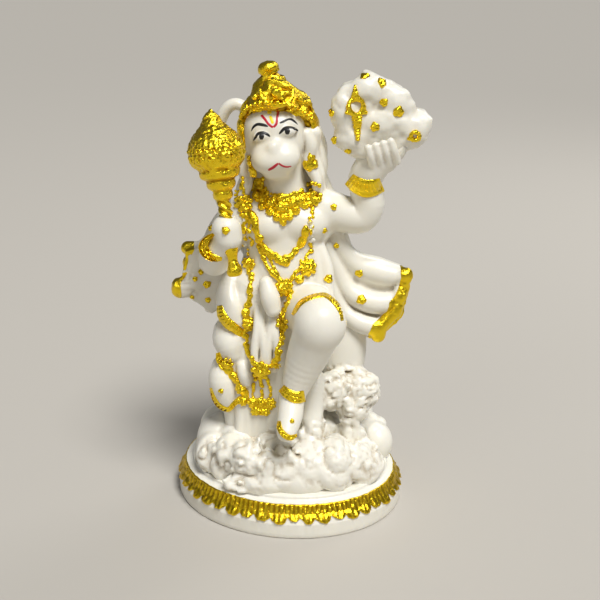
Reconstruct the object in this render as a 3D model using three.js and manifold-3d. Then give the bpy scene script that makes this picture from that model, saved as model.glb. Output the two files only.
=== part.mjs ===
// A moulded marble-dust statuette: a crowned, monkey-headed figure that lifts a mountain in one hand and holds
// a mace in the other, one foot up on a rock, on an oval plinth. Figure, rocks and plinth are one casting.
// Millimetres, +Z up. The origin is the middle of the plinth's underside, and the figure faces -Y.
import * as THREE from "three";
import { mergeVertices } from "three/addons/utils/BufferGeometryUtils.js";
import Module from "manifold-3d";

const wasm = await Module();
wasm.setup();

// The plinth: an oval drum with a plain foot, a band of petals under upright reeds, and a narrow ledge.
const PLINTH_WIDTH = 80;
const PLINTH_DEPTH = 68;
const PLINTH_TURN = -16;
const FOOT_HEIGHT = 6;
const PETAL_HEIGHT = 2.6;
const REED_HEIGHT = 2.9;
const LEDGE_HEIGHT = 1.5;
const LEDGE_STEP = 2.4;
const BAND_TAPER = 2.6;
const PETAL_RELIEF = 0.9;
const PETAL_COUNT = 40;
const PLINTH_TOP = FOOT_HEIGHT + PETAL_HEIGHT + REED_HEIGHT + LEDGE_HEIGHT;

// The figure, from the plinth's top to the tip of the crown. Its pose is laid out on a scale of so many steps.
const FIGURE_HEIGHT = 137;
const POSE_STEPS = 137;
const POSE_SCALE = FIGURE_HEIGHT / POSE_STEPS;

// Thicknesses and reliefs of the carving.
const CAPE_THICKNESS = 3.4;
const PLEAT_RELIEF = 1.7;
const FLOWER_RADIUS = 2.3;
const CHAIN_RADIUS = 0.95;
const GARLAND_RADIUS = 1.3;
const BANGLE_RELIEF = 0.7;
const LOCK_RELIEF = 0.8;
const FOLD_RELIEF = 0.7;

// The rounded end of a limb is one more ring, as shares of the limb's radius.
const DOME_REACH = 0.7;
const DOME_GIRTH = 0.6;

// How deep a rock reaches below the plinth's top, how far each leans and is turned from the last, and the depth
// of an ornament that finds no body behind it.
const ROCK_ROOT = 3;
const ROCK_LEAN = 14;
const ROCK_TURN = 40;
const BARE_DEPTH = -3;

// A point of the pose: x to the figure's left, y backwards, z above the plinth's top.
function at(x, y, z) {
  return new THREE.Vector3(x, y, z).multiplyScalar(POSE_SCALE).setZ(PLINTH_TOP + z * POSE_SCALE);
}

// A closed geometry as a solid. A lathe's axis gives triangles with two equal corners, which are dropped.
function solidOf(geometry) {
  const bare = new THREE.BufferGeometry().setAttribute("position", geometry.getAttribute("position"));
  bare.setIndex(geometry.index);
  const merged = mergeVertices(bare, 1e-4);
  const corners = merged.index.array;
  const kept = [];
  for (let i = 0; i < corners.length; i += 3) {
    const [a, b, c] = corners.slice(i, i + 3);
    if (a !== b && b !== c && c !== a) kept.push(a, b, c);
  }
  const vertProperties = merged.attributes.position.array;
  const build = (triVerts) => new wasm.Manifold(new wasm.Mesh({ numProp: 3, vertProperties, triVerts }));
  const solid = build(new Uint32Array(kept));
  return solid.volume() > 0 ? solid : build(new Uint32Array(kept.reverse()));
}

// A closed skin over a row of outlines with equally many points, with a fan over each end.
function skin(rings) {
  const around = rings[0].length;
  const points = rings.flat();
  const index = [];
  for (let ring = 0; ring + 1 < rings.length; ring += 1) {
    for (let i = 0; i < around; i += 1) {
      const a = ring * around + i;
      const b = ring * around + ((i + 1) % around);
      index.push(a, b, b + around, a, b + around, a + around);
    }
  }
  const cap = (ring, flip) => {
    const centre = rings[ring].reduce((sum, p) => sum.add(p), new THREE.Vector3()).divideScalar(around);
    const middle = points.push(centre) - 1;
    for (let i = 0; i < around; i += 1) {
      const a = ring * around + i;
      const b = ring * around + ((i + 1) % around);
      index.push(middle, ...(flip ? [b, a] : [a, b]));
    }
  };
  cap(0, true);
  cap(rings.length - 1, false);
  return solidOf(new THREE.BufferGeometry().setFromPoints(points).setIndex(index));
}

// An egg: a sphere with three half-sizes, turned by three angles in degrees.
function ball([x, y, z], [rx, ry, rz], turn = [0, 0, 0], sides = 8) {
  const angles = turn.map(THREE.MathUtils.degToRad);
  const egg = new THREE.SphereGeometry(POSE_SCALE, sides, Math.round(sides / 2));
  egg.rotateX(Math.PI / 2).scale(rx, ry, rz);
  egg.applyMatrix4(new THREE.Matrix4().makeRotationFromEuler(new THREE.Euler(...angles)));
  return solidOf(egg.translate(...at(x, y, z).toArray()));
}

// A round limb or cord through points [x, y, z, radius]. Thick ones end in domes, thin ones are cut straight.
function limb(stations, sides = 8, steps = 1, domed = sides > 6) {
  const curve = new THREE.CatmullRomCurve3(stations.map(([x, y, z]) => at(x, y, z)));
  const radii = stations.map(([, , , r], i) => new THREE.Vector3(i, r * POSE_SCALE, 0));
  const girth = new THREE.CatmullRomCurve3(radii);
  const count = (stations.length - 1) * steps;
  const normal = new THREE.Vector3(0, 0, 1);
  if (Math.abs(curve.getTangent(0).z) > 0.8) normal.set(1, 0, 0);
  const ringAt = (centre, tangent, radius) => {
    normal.addScaledVector(tangent, -normal.dot(tangent)).normalize();
    const side = new THREE.Vector3().crossVectors(tangent, normal);
    return Array.from({ length: sides }, (_, i) => {
      const angle = (2 * Math.PI * i) / sides;
      return centre.clone()
        .addScaledVector(normal, radius * Math.cos(angle))
        .addScaledVector(side, radius * Math.sin(angle));
    });
  };
  const rings = [];
  for (let i = 0; i <= count; i += 1) {
    const centre = curve.getPoint(i / count);
    const tangent = curve.getTangent(i / count);
    const radius = girth.getPoint(i / count).y;
    const dome = (way) => {
      const beyond = centre.clone().addScaledVector(tangent, way * DOME_REACH * radius);
      return ringAt(beyond, tangent, DOME_GIRTH * radius);
    };
    if (domed && i === 0) rings.push(dome(-1));
    rings.push(ringAt(centre, tangent, radius));
    if (domed && i === count) rings.push(dome(1));
  }
  return skin(rings);
}

// A body of level ovals [x, y, z, half-width, half-depth], with upright pleats where asked.
function trunk(levels, sides = 20, pleats = 0, relief = 0) {
  return skin(levels.map(([x, y, z, rx, ry]) => Array.from({ length: sides }, (_, i) => {
    const angle = (2 * Math.PI * i) / sides;
    const swell = 1 + (relief * Math.cos(pleats * angle)) / rx;
    return at(x + rx * swell * Math.cos(angle), y + ry * swell * Math.sin(angle), z);
  })));
}

// A turned form: its profile [radius, distance] runs along the line from foot towards head.
function turned(foot, head, profile, sides = 16) {
  const start = at(...foot);
  const axis = at(...head).sub(start).normalize();
  const lathe = new THREE.LatheGeometry(profile.map(([r, t]) => new THREE.Vector2(r, t)), sides);
  lathe.scale(POSE_SCALE, POSE_SCALE, POSE_SCALE);
  lathe.applyQuaternion(new THREE.Quaternion().setFromUnitVectors(new THREE.Vector3(0, 1, 0), axis));
  return solidOf(lathe.translate(...start.toArray()));
}

// Cloth that flies outwards: pleats run from a root edge to a hem edge, each given from top to bottom.
function cape(root, hem, pleats, samples = 4 * pleats, stations = 2) {
  const rootEdge = new THREE.CatmullRomCurve3(root.map((p) => at(...p)));
  const hemEdge = new THREE.CatmullRomCurve3(hem.map((p) => at(...p)));
  const rings = [];
  for (let s = 0; s <= stations; s += 1) {
    const out = s / stations;
    const front = [];
    const back = [];
    for (let i = 0; i <= samples; i += 1) {
      const down = i / samples;
      const point = rootEdge.getPoint(down).lerp(hemEdge.getPoint(down), out);
      const relief = THREE.MathUtils.lerp(PLEAT_RELIEF / 3, PLEAT_RELIEF, out);
      const wave = relief * Math.cos(2 * Math.PI * pleats * down);
      const half = CAPE_THICKNESS / 2;
      front.push(point.clone().add(new THREE.Vector3(0, wave - half, 0)));
      back.unshift(point.clone().add(new THREE.Vector3(0, wave + half, 0)));
    }
    rings.push([...front, ...back]);
  }
  return skin(rings);
}

const fuse = (solids) => solids.reduce((whole, solid) => whole.add(solid));

// The plinth's oval, with petals and reeds as ripples of its outline, one ring for each change of profile.
function plinth() {
  const sides = PETAL_COUNT * 2;
  const petalTop = FOOT_HEIGHT + PETAL_HEIGHT;
  const reedTop = petalTop + REED_HEIGHT;
  const profile = [
    { z: 0, inset: 0, relief: 0 },
    { z: FOOT_HEIGHT, inset: 0, relief: 0 },
    { z: FOOT_HEIGHT + PETAL_HEIGHT / 3, inset: BAND_TAPER / 8, relief: PETAL_RELIEF },
    { z: petalTop, inset: BAND_TAPER / 2, relief: PETAL_RELIEF / 2 },
    { z: reedTop, inset: BAND_TAPER, relief: 0 },
    { z: PLINTH_TOP, inset: BAND_TAPER + LEDGE_STEP, relief: 0 },
  ];
  const turn = THREE.MathUtils.degToRad(PLINTH_TURN);
  return skin(profile.map(({ z, inset, relief }) => Array.from({ length: sides }, (_, i) => {
    const angle = (2 * Math.PI * i) / sides;
    const out = relief * Math.abs(Math.sin((PETAL_COUNT * angle) / 2)) - inset;
    const x = (PLINTH_WIDTH / 2 + out) * Math.cos(angle);
    const y = (PLINTH_DEPTH / 2 + out) * Math.sin(angle);
    return new THREE.Vector3(x, y, z).applyAxisAngle(new THREE.Vector3(0, 0, 1), turn);
  })));
}

// The rocks stand at shares of the plinth's half-sizes, each as [x, y, top, half-width, half-depth].
function rocks() {
  const crag = [
    [-0.65, -0.24, 12.5, 6.5, 7], [-0.51, -0.41, 15, 6.5, 6.5], [-0.34, -0.54, 15, 6.5, 6],
    [-0.16, -0.6, 12.5, 7, 6], [-0.22, -0.65, 6, 12, 5.5], [0.08, -0.66, 8, 9.5, 6], [0.04, -0.72, 18, 6, 5.5],
  ];
  const boulders = [
    [0.35, -0.53, 15, 11, 9], [0.6, -0.39, 11, 8.5, 9], [0.55, -0.18, 16.2, 5.6, 5.6],
    [0.78, 0.03, 11.5, 5.8, 6.5], [-0.63, -0.03, 15.5, 7.5, 8], [-0.4, -0.18, 16, 10, 9],
    [-0.08, -0.27, 16.5, 11, 9],
  ];
  const back = [
    [-0.55, 0.24, 16, 10, 9], [-0.3, 0.5, 21, 13, 10], [0.15, 0.53, 23, 13, 10.5], [0.5, 0.41, 20, 11, 9.5],
    [0.7, 0.18, 13, 8, 7], [0, 0.12, 23, 20, 15],
  ];
  const risen = [...crag, ...boulders, ...back].map(([x, y, top, rx, ry], i) => ball(
    [(x * PLINTH_WIDTH) / 2 / POSE_SCALE, (y * PLINTH_DEPTH) / 2 / POSE_SCALE, (top - ROCK_ROOT) / 2],
    [rx, ry, (top + ROCK_ROOT) / 2], [ROCK_LEAN * Math.sin(2 * i), ROCK_LEAN * Math.cos(3 * i), ROCK_TURN * i], 7));
  const levels = [[0, 0, -ROCK_ROOT, 30, 24], [0, 0, 2, 30, 24], [-1, 0, 9, 24, 18], [-1, 2, 16, 16, 13]];
  const column = [
    [19, 4, 36, 7.6, 7, 20], [16, -5, 27, 7, 6.5, 7.5], [24, -3, 27, 7.6, 6.5, 7], [22, -5, 21.5, 6, 6, 6.5],
    [9.5, -12, 25, 4.5, 6, 12],
  ].map(([x, y, z, ...radii]) => ball([x, y, z], radii, [0, 6, 0], 7));
  return [trunk(levels, 10), ...risen, ...column];
}

function head() {
  const sideLocks = [[7.6, 0, 0], [9.4, 3, 1]].map(([x, y, drop]) => limb(
    [[x - 1, y - 1, 117 - drop, 2], [x + 0.8, y - 1.6, 108, 2.5], [x + 2, y - 3, 96, 1.7]], 6));
  return [
    ball([-3, -1.5, 112], [11.2, 10.2, 12.5], [0, -8, 0], 12),
    ball([-2.4, -8, 108.6], [9.2, 7.4, 6.6], [0, -8, 0], 10),
    ball([-2.7, -12.2, 110.8], [3, 3, 3.4], [0, 0, 0], 6),
    limb([[-1.8, -1, 104, 6.6], [-0.6, 0, 92, 7.4]], 10, 1),
    trunk([[-4, 5, 120, 9, 5], [-3, 6, 112, 12, 7.4], [-1.6, 6, 103, 12.6, 7.6], [-1, 7, 92, 12, 6]],
      16, 4, LOCK_RELIEF),
    ...sideLocks,
  ];
}

// A bell with a knob, its rim high over the brow and low beside the ears, with a medallion in front.
function crown() {
  const foot = [-3.5, 0.4, 117];
  const tip = [-6.8, 0.4, 136.9];
  const profile = [
    [0, -1], [11.4, -1], [11.9, 1.5], [11.4, 4], [10.8, 6], [9.8, 8.2], [7.6, 10.2], [6.2, 12], [5, 13.8],
    [3, 15.2], [3.4, 16.8], [3.1, 18.6], [1.8, 19.8], [0, 20.2],
  ];
  const flaps = [[-13.6, 0.2, 114.5, -4], [6.6, 0.5, 116.5, -14]].map(
    ([x, y, z, tilt]) => ball([x, y, z], [2.2, 7, 6], [0, tilt, 0], 6));
  const medallion = ball([-4.6, -9.4, 125], [5.4, 3, 5], [0, -8, 0]);
  const lobe = ball([5.4, -1, 124.4], [2.4, 3.4, 2.8], [0, -8, 0], 6);
  const earrings = [[-11.6, -7.5, 105.6], [7.2, -5.5, 106]].map(
    ([x, y, z]) => ball([x, y, z + 1], [1.9, 1.7, 3.2], [0, 0, 0], 6));
  return [turned(foot, tip, profile, 14), ...flaps, medallion, lobe, ...earrings];
}

function torso() {
  return [
    trunk([[-0.5, 0.5, 96, 6, 5], [-0.5, 0.5, 92.5, 13.5, 7.5], [-0.5, 0, 87, 15.6, 8.8],
      [-0.8, -1, 81, 13.6, 9.2], [-1.5, -1, 74, 11.5, 8.4], [-2.3, -0.5, 67, 10.8, 8.2], [-3, 0, 59, 13, 9.2],
      [-3, 0, 50, 14, 9.8], [-3, 0, 40, 11, 8.6]], 12),
    ball([-6.6, -6.4, 83.5], [6.6, 3.8, 5], [0, 0, 0]),
    ball([5.4, -6.4, 83.5], [6.6, 3.8, 5]),
    ball([-2.4, -5.4, 68], [7.6, 4.4, 7.6]),
    limb([[-15, -4, 60, 2.4], [-9, -8.6, 61, 2.4], [-2.4, -9.8, 61.4, 2.4], [4, -9.2, 61, 2.4],
      [10, -5, 60, 2.2]], 5),
  ];
}

function arms() {
  const palm = [
    ball([27.4, -2.5, 104.6], [7.6, 5, 5.6], [0, 20, 0]), ball([32, -3, 107.4], [5, 4.4, 3.6], [0, -40, 0]),
  ];
  const fingers = [0, 1, 2, 3].map((i) => limb([
    [26.2 + 2.3 * i, -6, 103.4 + 0.6 * i, 1.5], [25.4 + 2.5 * i, -8.4, 107.2 + 0.8 * i, 1.5],
    [24.6 + 2.7 * i, -9, 111.4 + 0.5 * i, 1.2]], 5, 1));
  const bangle = (foot, top, radius, width) => turned(foot, top, [
    [0, 0], [radius, 0], [radius + BANGLE_RELIEF, width * 0.3], [radius + BANGLE_RELIEF, width * 0.7],
    [radius, width], [0, width]], 10);
  return [
    limb([[-13.5, 0.5, 89, 6.4], [-20.5, -0.5, 82.5, 6.2], [-24.6, -4.5, 75.6, 5.6], [-23.6, -11, 76.4, 4.9],
      [-20.5, -17, 82, 4.2]]),
    ball([-18.5, -20.3, 87], [5.6, 5, 6.8], [0, 10, 0]),
    bangle([-23.4, -12.2, 77.4], [-20, -18.5, 83.4], 4.6, 4.4),
    limb([[11.5, 1, 90, 6.6], [18.5, 2, 86, 6.2], [24.6, 2, 85.2, 6.2], [26.4, 1, 91, 5.7],
      [24.6, 0, 98, 4.8], [26, -1.6, 102, 4.6]]),
    bangle([23.9, 0.2, 95], [24.9, -0.6, 100], 5, 4.6),
    ...palm, ...fingers,
  ];
}

function mace() {
  const profile = [
    [0, 0], [2.4, 0.4], [1.7, 5], [1.9, 23.6], [2.9, 24.6], [2.8, 26.4], [4.2, 28], [4, 29.6], [5.8, 31],
    [5.6, 32.6], [7.4, 34.4], [8.4, 36.4], [8.6, 39.4], [7.4, 42.8], [5.4, 45], [3.5, 47], [2.3, 49.4],
    [0, 51.5],
  ];
  return [turned([-16.6, -22, 73.5], [-23.6, -15.5, 124], profile, 11)];
}

function tail() {
  return [limb([
    [-3, 8, 57, 3.2], [-13, 13.4, 71, 2.9], [-23, 13, 91, 2.5], [-23.6, 9.4, 109, 2.1], [-22.6, 8, 116, 2],
    [-20, 7, 121, 2], [-17, 6.4, 122.6, 1.9], [-14, 6.4, 121, 1.9], [-11.4, 7, 116, 1.8], [-9, 7, 110, 1.6],
  ], 6)];
}

// The lifted mountain: one boulder with lobes round its rim.
function mountain() {
  return [
    [28, -1, 120.5, 13.4, 7, 10.6], [18, -1, 116.6, 6, 5.5, 9], [24, -1, 127.2, 8, 5.5, 6],
    [34, -1, 125, 7.6, 5.5, 6.4], [40.4, -1, 115.6, 5.4, 5, 8.6], [34, -1, 110, 8, 5, 4.4],
  ].map(([x, y, z, ...radii]) => ball([x, y, z], radii, [0, 0, 0], 9));
}

function clothes() {
  return [
    cape([[12, 5, 83], [13, 6, 68], [9, 5, 47]], [[38.6, 5, 67.6], [40.6, 4, 58], [31, -1, 44.6]], 4),
    cape([[-11, 5, 84], [-12, 6, 70], [-10, 6, 49]], [[-36.4, 6, 76], [-40, 4, 63], [-30, 4, 52.4]], 3),
    trunk([[0, 4, 94, 11, 4], [0, 7, 86, 15, 5.5], [-1, 9, 70, 17, 6.5], [-1, 10, 52, 19, 7.5],
      [-1, 9, 20, 18, 6]], 16, 4, FOLD_RELIEF),
    limb([[11.5, -2, 92, 5.6], [13.4, -3, 80, 5.2], [12, -3, 66, 5.2], [14, -1, 55, 6]]),
    trunk([[-7.4, -7.6, 63, 5.4, 4.2], [-8, -12.5, 50, 6.2, 4], [-8.8, -14, 38, 6, 3.4],
      [-9.4, -13.5, 26, 5, 3]], 10, 3, FOLD_RELIEF),
    limb([[-4.8, -13, 58, 2.2], [-5.6, -14.6, 53.4, 3], [-5.4, -14, 49, 2.4]], 8, 2),
  ];
}

function legs() {
  const wrap = (stations) => limb(stations, 4);
  return [
    limb([[4, 0, 58, 9.4], [7.4, -11, 58, 8.8], [9.4, -21, 58.6, 8]]),
    ball([9.6, -23.6, 59.6], [7.8, 7.4, 8.2], [0, 0, 0], 9),
    limb([[9, -23, 56, 7.6], [6.2, -22.6, 48, 7.9], [3.6, -21.8, 39, 6.4], [1, -21.8, 32.6, 4.4]], 9),
    limb([[0.8, -21.4, 31, 4.2], [0.4, -24.6, 27.4, 4.3], [-0.8, -29, 23.6, 3.4]]),
    limb([[-12, -1, 62, 9.6], [-17.2, -4, 54, 8.4], [-18.6, -5.4, 44, 6.8], [-19.4, -4, 33, 7.8],
      [-19, -3, 24, 6.8], [-17, -3, 12, 6]]),
    wrap([[3.4, -27, 62, 0.8], [7, -29, 67.2, 0.8], [11.5, -28, 67.6, 0.8], [15.6, -24, 63, 0.8],
      [17, -20, 57, 0.8]]),
    wrap([[-24.6, -6, 58, 1.4], [-21, -11, 53, 1.5], [-14.6, -13, 49.4, 1.5]]),
    wrap([[-25, -6, 44, 1.3], [-21.4, -10.4, 39.6, 1.5], [-14, -13.4, 35, 1.6], [-11, -15, 28.6, 1.6]]),
    wrap([[-4, -24, 35, 1.2], [0, -27, 32, 1.3], [4.6, -25, 33.4, 1.2]]),
    wrap([[-3.8, -26.4, 26, 0.8], [-1.6, -31.4, 23, 0.8], [2.4, -29.6, 23.6, 0.8]]),
  ];
}

// The necklaces, garland and flowers lie on the front of the body: each [x, z] is dropped on it along +Y.
function jewels(body) {
  const { vertProperties, triVerts } = body.getMesh();
  const geometry = new THREE.BufferGeometry();
  geometry.setAttribute("position", new THREE.BufferAttribute(vertProperties, 3));
  const target = new THREE.Mesh(geometry.setIndex(new THREE.BufferAttribute(triVerts, 1)));
  const ray = new THREE.Raycaster();
  const seat = ([x, z], sink = 0.3) => {
    const start = at(x, -80, z);
    ray.set(start, new THREE.Vector3(0, 1, 0));
    const [hit] = ray.intersectObject(target);
    return [x, hit ? hit.point.y / POSE_SCALE + sink : BARE_DEPTH, z];
  };
  const strand = (points, radius) => limb(points.map((p) => [...seat(p), radius / POSE_SCALE]), 4);
  const flower = (p, size = 1) => {
    const half = (FLOWER_RADIUS * size) / POSE_SCALE;
    return ball(seat(p, 0.2), [half, half * 0.8, half], [0, 0, 0], 5);
  };
  const collar = Array.from({ length: 7 }, (_, i) => {
    const along = i / 6 - 0.5;
    const drop = 1 - 4 * along * along;
    const place = seat([-2.6 + 15 * along, 98.6 - 2 * along - 6 * drop], 0.4);
    return ball(place, [2.2, 1.4, 2 + 2.2 * drop], [0, 60 * along, 0], 5);
  });
  return [
    ...collar,
    strand([[-11.4, 89.6], [-9, 81.8], [-3.8, 76.4], [2.9, 79.4], [5.2, 84.6]], CHAIN_RADIUS),
    strand([[-14.2, 93], [-13.6, 78], [-12.6, 61.4], [-13.7, 50], [-12, 42.5]], GARLAND_RADIUS),
    strand([[7.4, 95], [7, 77], [-0.1, 62], [-2.3, 52], [-4.7, 42.5]], GARLAND_RADIUS),
    ...[[-14.2, 93.3], [7.6, 95.2], [-12.4, 73.8], [5.8, 73], [-1.6, 67], [-13.6, 56.6], [-1.9, 56]]
      .map((p) => flower(p)),
    flower([-9.2, 40.5], 1.3),
    ...[-4.2, -1.4, 1.4, 4.2].map((x) => flower([-8.9 + x, 27.6 + 0.1 * x * x], 1.1)),
  ];
}

const body = fuse([
  plinth(), ...rocks(), ...legs(), ...torso(), ...arms(), ...head(), ...crown(), ...mace(), ...tail(),
  ...mountain(), ...clothes(),
]);
const casting = fuse([body, ...jewels(body)]);

const { vertProperties, triVerts } = casting.getMesh();
const marble = new THREE.MeshStandardMaterial({ color: 0xf1ede1, roughness: 0.35, metalness: 0 });
const figure = new THREE.Mesh(
  new THREE.BufferGeometry()
    .setAttribute("position", new THREE.BufferAttribute(vertProperties, 3))
    .setIndex(new THREE.BufferAttribute(triVerts, 1)),
  marble,
);
figure.geometry.computeVertexNormals();
figure.name = "hanuman_figure";

const statuette = new THREE.Group();
statuette.add(figure);

export default statuette;
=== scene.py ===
# %% [markdown]
# # A moulded marble-dust statuette with gold paint
# The real object is one casting of marble dust and resin: a crowned, monkey-headed figure that lifts a
# mountain. It is white and a little translucent, and its ornaments are brushed with bright gold. This
# script dresses the imported solid, which is faceted, with smooth forms, fine relief and paint.

# %% Load the imported model
import math

import bpy
import numpy as np
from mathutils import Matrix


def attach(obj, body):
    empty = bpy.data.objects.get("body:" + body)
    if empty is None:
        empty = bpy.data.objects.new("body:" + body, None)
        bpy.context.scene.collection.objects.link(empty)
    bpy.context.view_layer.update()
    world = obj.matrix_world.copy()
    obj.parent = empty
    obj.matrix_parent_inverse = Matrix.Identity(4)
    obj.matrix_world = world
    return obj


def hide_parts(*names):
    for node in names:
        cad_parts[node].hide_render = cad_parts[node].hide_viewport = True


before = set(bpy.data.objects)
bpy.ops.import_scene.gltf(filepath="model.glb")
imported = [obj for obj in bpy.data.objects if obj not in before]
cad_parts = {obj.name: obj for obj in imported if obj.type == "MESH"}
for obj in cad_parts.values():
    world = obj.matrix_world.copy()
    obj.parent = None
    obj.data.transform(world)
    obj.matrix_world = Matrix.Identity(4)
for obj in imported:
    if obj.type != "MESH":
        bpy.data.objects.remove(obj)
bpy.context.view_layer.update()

import openvdb
from mathutils import Euler, Vector

NODE = "hanuman_figure"
BODY = "root"
MM = 0.001

# %% [markdown]
# ## Camera
# The photograph was taken from a little above the statuette, straight at its front. The camera stands 300
# mm in front of it and 178 mm up, and looks down at about 20 degrees. A small shift puts the statuette
# left of centre.

# %% Camera
CAMERA_PLACE = Vector((0, -300, 178)) * MM
CAMERA_TILT = math.radians(90 - 19.6)
PHOTO_PIXELS = 600
FOCAL_PIXELS = 945
CENTRE_PIXEL = 289
SENSOR = 36


def put(name, data):
    """A new object in the scene."""
    thing = bpy.data.objects.new(name, data)
    bpy.context.scene.collection.objects.link(thing)
    return thing


camera = put("camera", bpy.data.cameras.new("camera"))
camera.location = CAMERA_PLACE
camera.rotation_euler = (CAMERA_TILT, 0, 0)
camera.data.sensor_width = SENSOR
camera.data.lens = FOCAL_PIXELS / PHOTO_PIXELS * SENSOR
camera.data.shift_x = (PHOTO_PIXELS / 2 - CENTRE_PIXEL) / PHOTO_PIXELS
camera.data.clip_start = 0.01
bpy.context.scene.camera = camera
print("lens", round(camera.data.lens, 1), "mm")

# %% [markdown]
# ## Clay
# A carved figure has no flat faces and no sharp joints: an arm flows into a shoulder, a pleat into a hem.
# Such forms could be sculpted by hand or joined with booleans. Here each piece is worked out in a block
# of space instead. Every form says how far each point of the block is from its surface, and neighbouring
# forms are melted together by blending those distances. The surface is where the distance is zero.

# %% Forms of clay
FAR = 400.0
PROFILE_SLOPE = 0.85


def shift(place, x, y, z):
    """How far points are from a place, along x, y and z."""
    return x - place[0], y - place[1], z - place[2]


def dot(away, way):
    """How far a shift goes along a direction."""
    return sum(a * w for a, w in zip(away, way))


def unit(way):
    """A direction with the length 1."""
    return np.array(way, float) / np.linalg.norm(way)


def egg(centre, half, turn=(0, 0, 0)):
    """An egg with three half-sizes in mm, turned by three angles in degrees."""
    centre, half = np.array(centre, float), np.array(half, float)
    spin = np.array(Euler([math.radians(a) for a in turn]).to_matrix())
    reach = np.sqrt((spin**2) @ half**2)

    def distance(x, y, z):
        away = shift(centre, x, y, z)
        own = [dot(away, spin[:, i]) for i in range(3)]
        near = np.sqrt(sum((a / h) ** 2 for a, h in zip(own, half)))
        slope = np.sqrt(sum((a / h**2) ** 2 for a, h in zip(own, half)))
        return near * (near - 1) / np.maximum(slope, 1e-4)

    return centre - reach, centre + reach, distance


def smooth_path(stations, steps=6):
    """A flowing line through stations of any number of values each."""
    rows = np.array(stations, float)
    padded = np.vstack([2 * rows[0] - rows[1], rows, 2 * rows[-1] - rows[-2]])
    out = []
    for a, b, c, d in zip(padded, padded[1:], padded[2:], padded[3:]):
        for t in np.arange(steps) / steps:
            bend = t**2 * (a - 2.5 * b + 2 * c - d / 2) + t**3 * (1.5 * (b - c) + (d - a) / 2)
            out.append(b + t * (c - a) / 2 + bend)
    return np.vstack([*out, rows[-1]])


def limb(*stations, steps=4):
    """A round limb, cord or lock of hair through stations (x, y, z, radius)."""
    line = smooth_path(stations, steps).astype(np.float32)

    def distance(x, y, z):
        best = FAR
        for a, b in zip(line, line[1:]):
            way = b[:3] - a[:3]
            away = shift(a, x, y, z)
            t = np.clip(dot(away, way) / max(float(way @ way), 1e-6), 0, 1)
            gap = np.sqrt(sum((w - t * s) ** 2 for w, s in zip(away, way))) - a[3] - t * (b[3] - a[3])
            best = np.minimum(best, gap)
        return best

    return (line[:, :3] - line[:, 3:]).min(0), (line[:, :3] + line[:, 3:]).max(0), distance


def turned(foot, head, profile):
    """A form turned about the line from foot to head: profile pairs are (distance along it, radius)."""
    foot, head = np.array(foot, float), np.array(head, float)
    axis = unit(head - foot)
    along, girth = smooth_path(profile, 8).T
    ends = np.array([foot + axis * along.min(), foot + axis * along.max()])

    def distance(x, y, z):
        away = shift(foot, x, y, z)
        t = dot(away, axis)
        out = np.sqrt(np.maximum(dot(away, away) - t * t, 0))
        side = (out - np.interp(t, along, girth)) * PROFILE_SLOPE
        return np.maximum(side, np.maximum(along[0] - t, t - along[-1]))

    return ends.min(0) - girth.max(), ends.max(0) + girth.max(), distance


def slab(outline, depth, thickness):
    """A sheet that faces the front: an outline of (x, z) points, lying at one depth."""
    corners = np.array(outline, float)
    low = np.array([corners[:, 0].min(), -FAR, corners[:, 1].min()])
    high = np.array([corners[:, 0].max(), FAR, corners[:, 1].max()])

    def edge(x, z):
        best = np.full(np.broadcast(x, z).shape, 1e6)
        inside = np.zeros(best.shape, bool)
        for (ax, az), (bx, bz) in zip(corners, np.roll(corners, -1, 0)):
            ex, ez = bx - ax, bz - az
            t = np.clip(((x - ax) * ex + (z - az) * ez) / (ex * ex + ez * ez), 0, 1)
            best = np.minimum(best, (x - ax - t * ex) ** 2 + (z - az - t * ez) ** 2)
            crosses = (az > z) != (bz > z)
            inside ^= crosses & (x < ax + (z - az) * ex / (bz - az if bz != az else 1e-9))
        return np.sqrt(best) * np.where(inside, -1, 1)

    def distance(x, y, z):
        return np.maximum(edge(x, z), np.abs(y - depth) - thickness / 2)

    return low, high, distance


def beyond(place, outward):
    """Everything behind a plane through a place, where outward points to the free side."""
    place, outward = np.array(place, float), unit(outward)
    return place - FAR, place + FAR, lambda x, y, z: dot(shift(place, x, y, z), outward)


print("forms: egg, limb, turned, slab, beyond")

# %% [markdown]
# Every piece of the scene is part of one casting, so each one rides on the same body. What all of them need
# is written once here. A Decimate modifier could stay live on a piece, but its result is kept as the mesh
# at once, because later steps look for places on that mesh and store values at its corners.

# %% A finished piece
def thin_out(piece, share):
    """Bring down the count of faces, and keep that as the mesh."""
    piece.modifiers.new("thin", "DECIMATE").ratio = share
    bpy.context.view_layer.update()
    seen = piece.evaluated_get(bpy.context.evaluated_depsgraph_get())
    thin = bpy.data.meshes.new_from_object(seen)
    piece.modifiers.clear()
    piece.data = thin


def corner_places(piece):
    """The corners of a piece in mm, one row each."""
    places = np.empty(len(piece.data.vertices) * 3, np.float32)
    piece.data.vertices.foreach_get("co", places)
    return places.reshape(-1, 3) / MM


def set_mask(piece, name, values):
    """Give a piece one value at each corner, for its material to read."""
    layer = piece.data.attributes.new(name, "FLOAT", "POINT")
    layer.data.foreach_set("value", np.asarray(values, np.float32).ravel())


def finish_piece(piece):
    """Shade a piece smoothly and hang it on the casting."""
    piece.data.shade_smooth()
    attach(piece, BODY)
    return piece


def piece_from(name, places, faces):
    """A finished piece from places in mm and the corners of its faces."""
    data = bpy.data.meshes.new(name)
    data.from_pydata((np.array(places) * MM).tolist(), [], faces)
    return finish_piece(put(name, data))


# %% [markdown]
# The block is sampled on a grid of small cells. Each form only touches the cells near it. OpenVDB, which
# comes with Blender, draws the skin through the grid, and a Decimate modifier brings the count of faces
# down to a budget. The same grid says where the creases are: there the mean of the neighbouring cells
# lies inside the clay.

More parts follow.
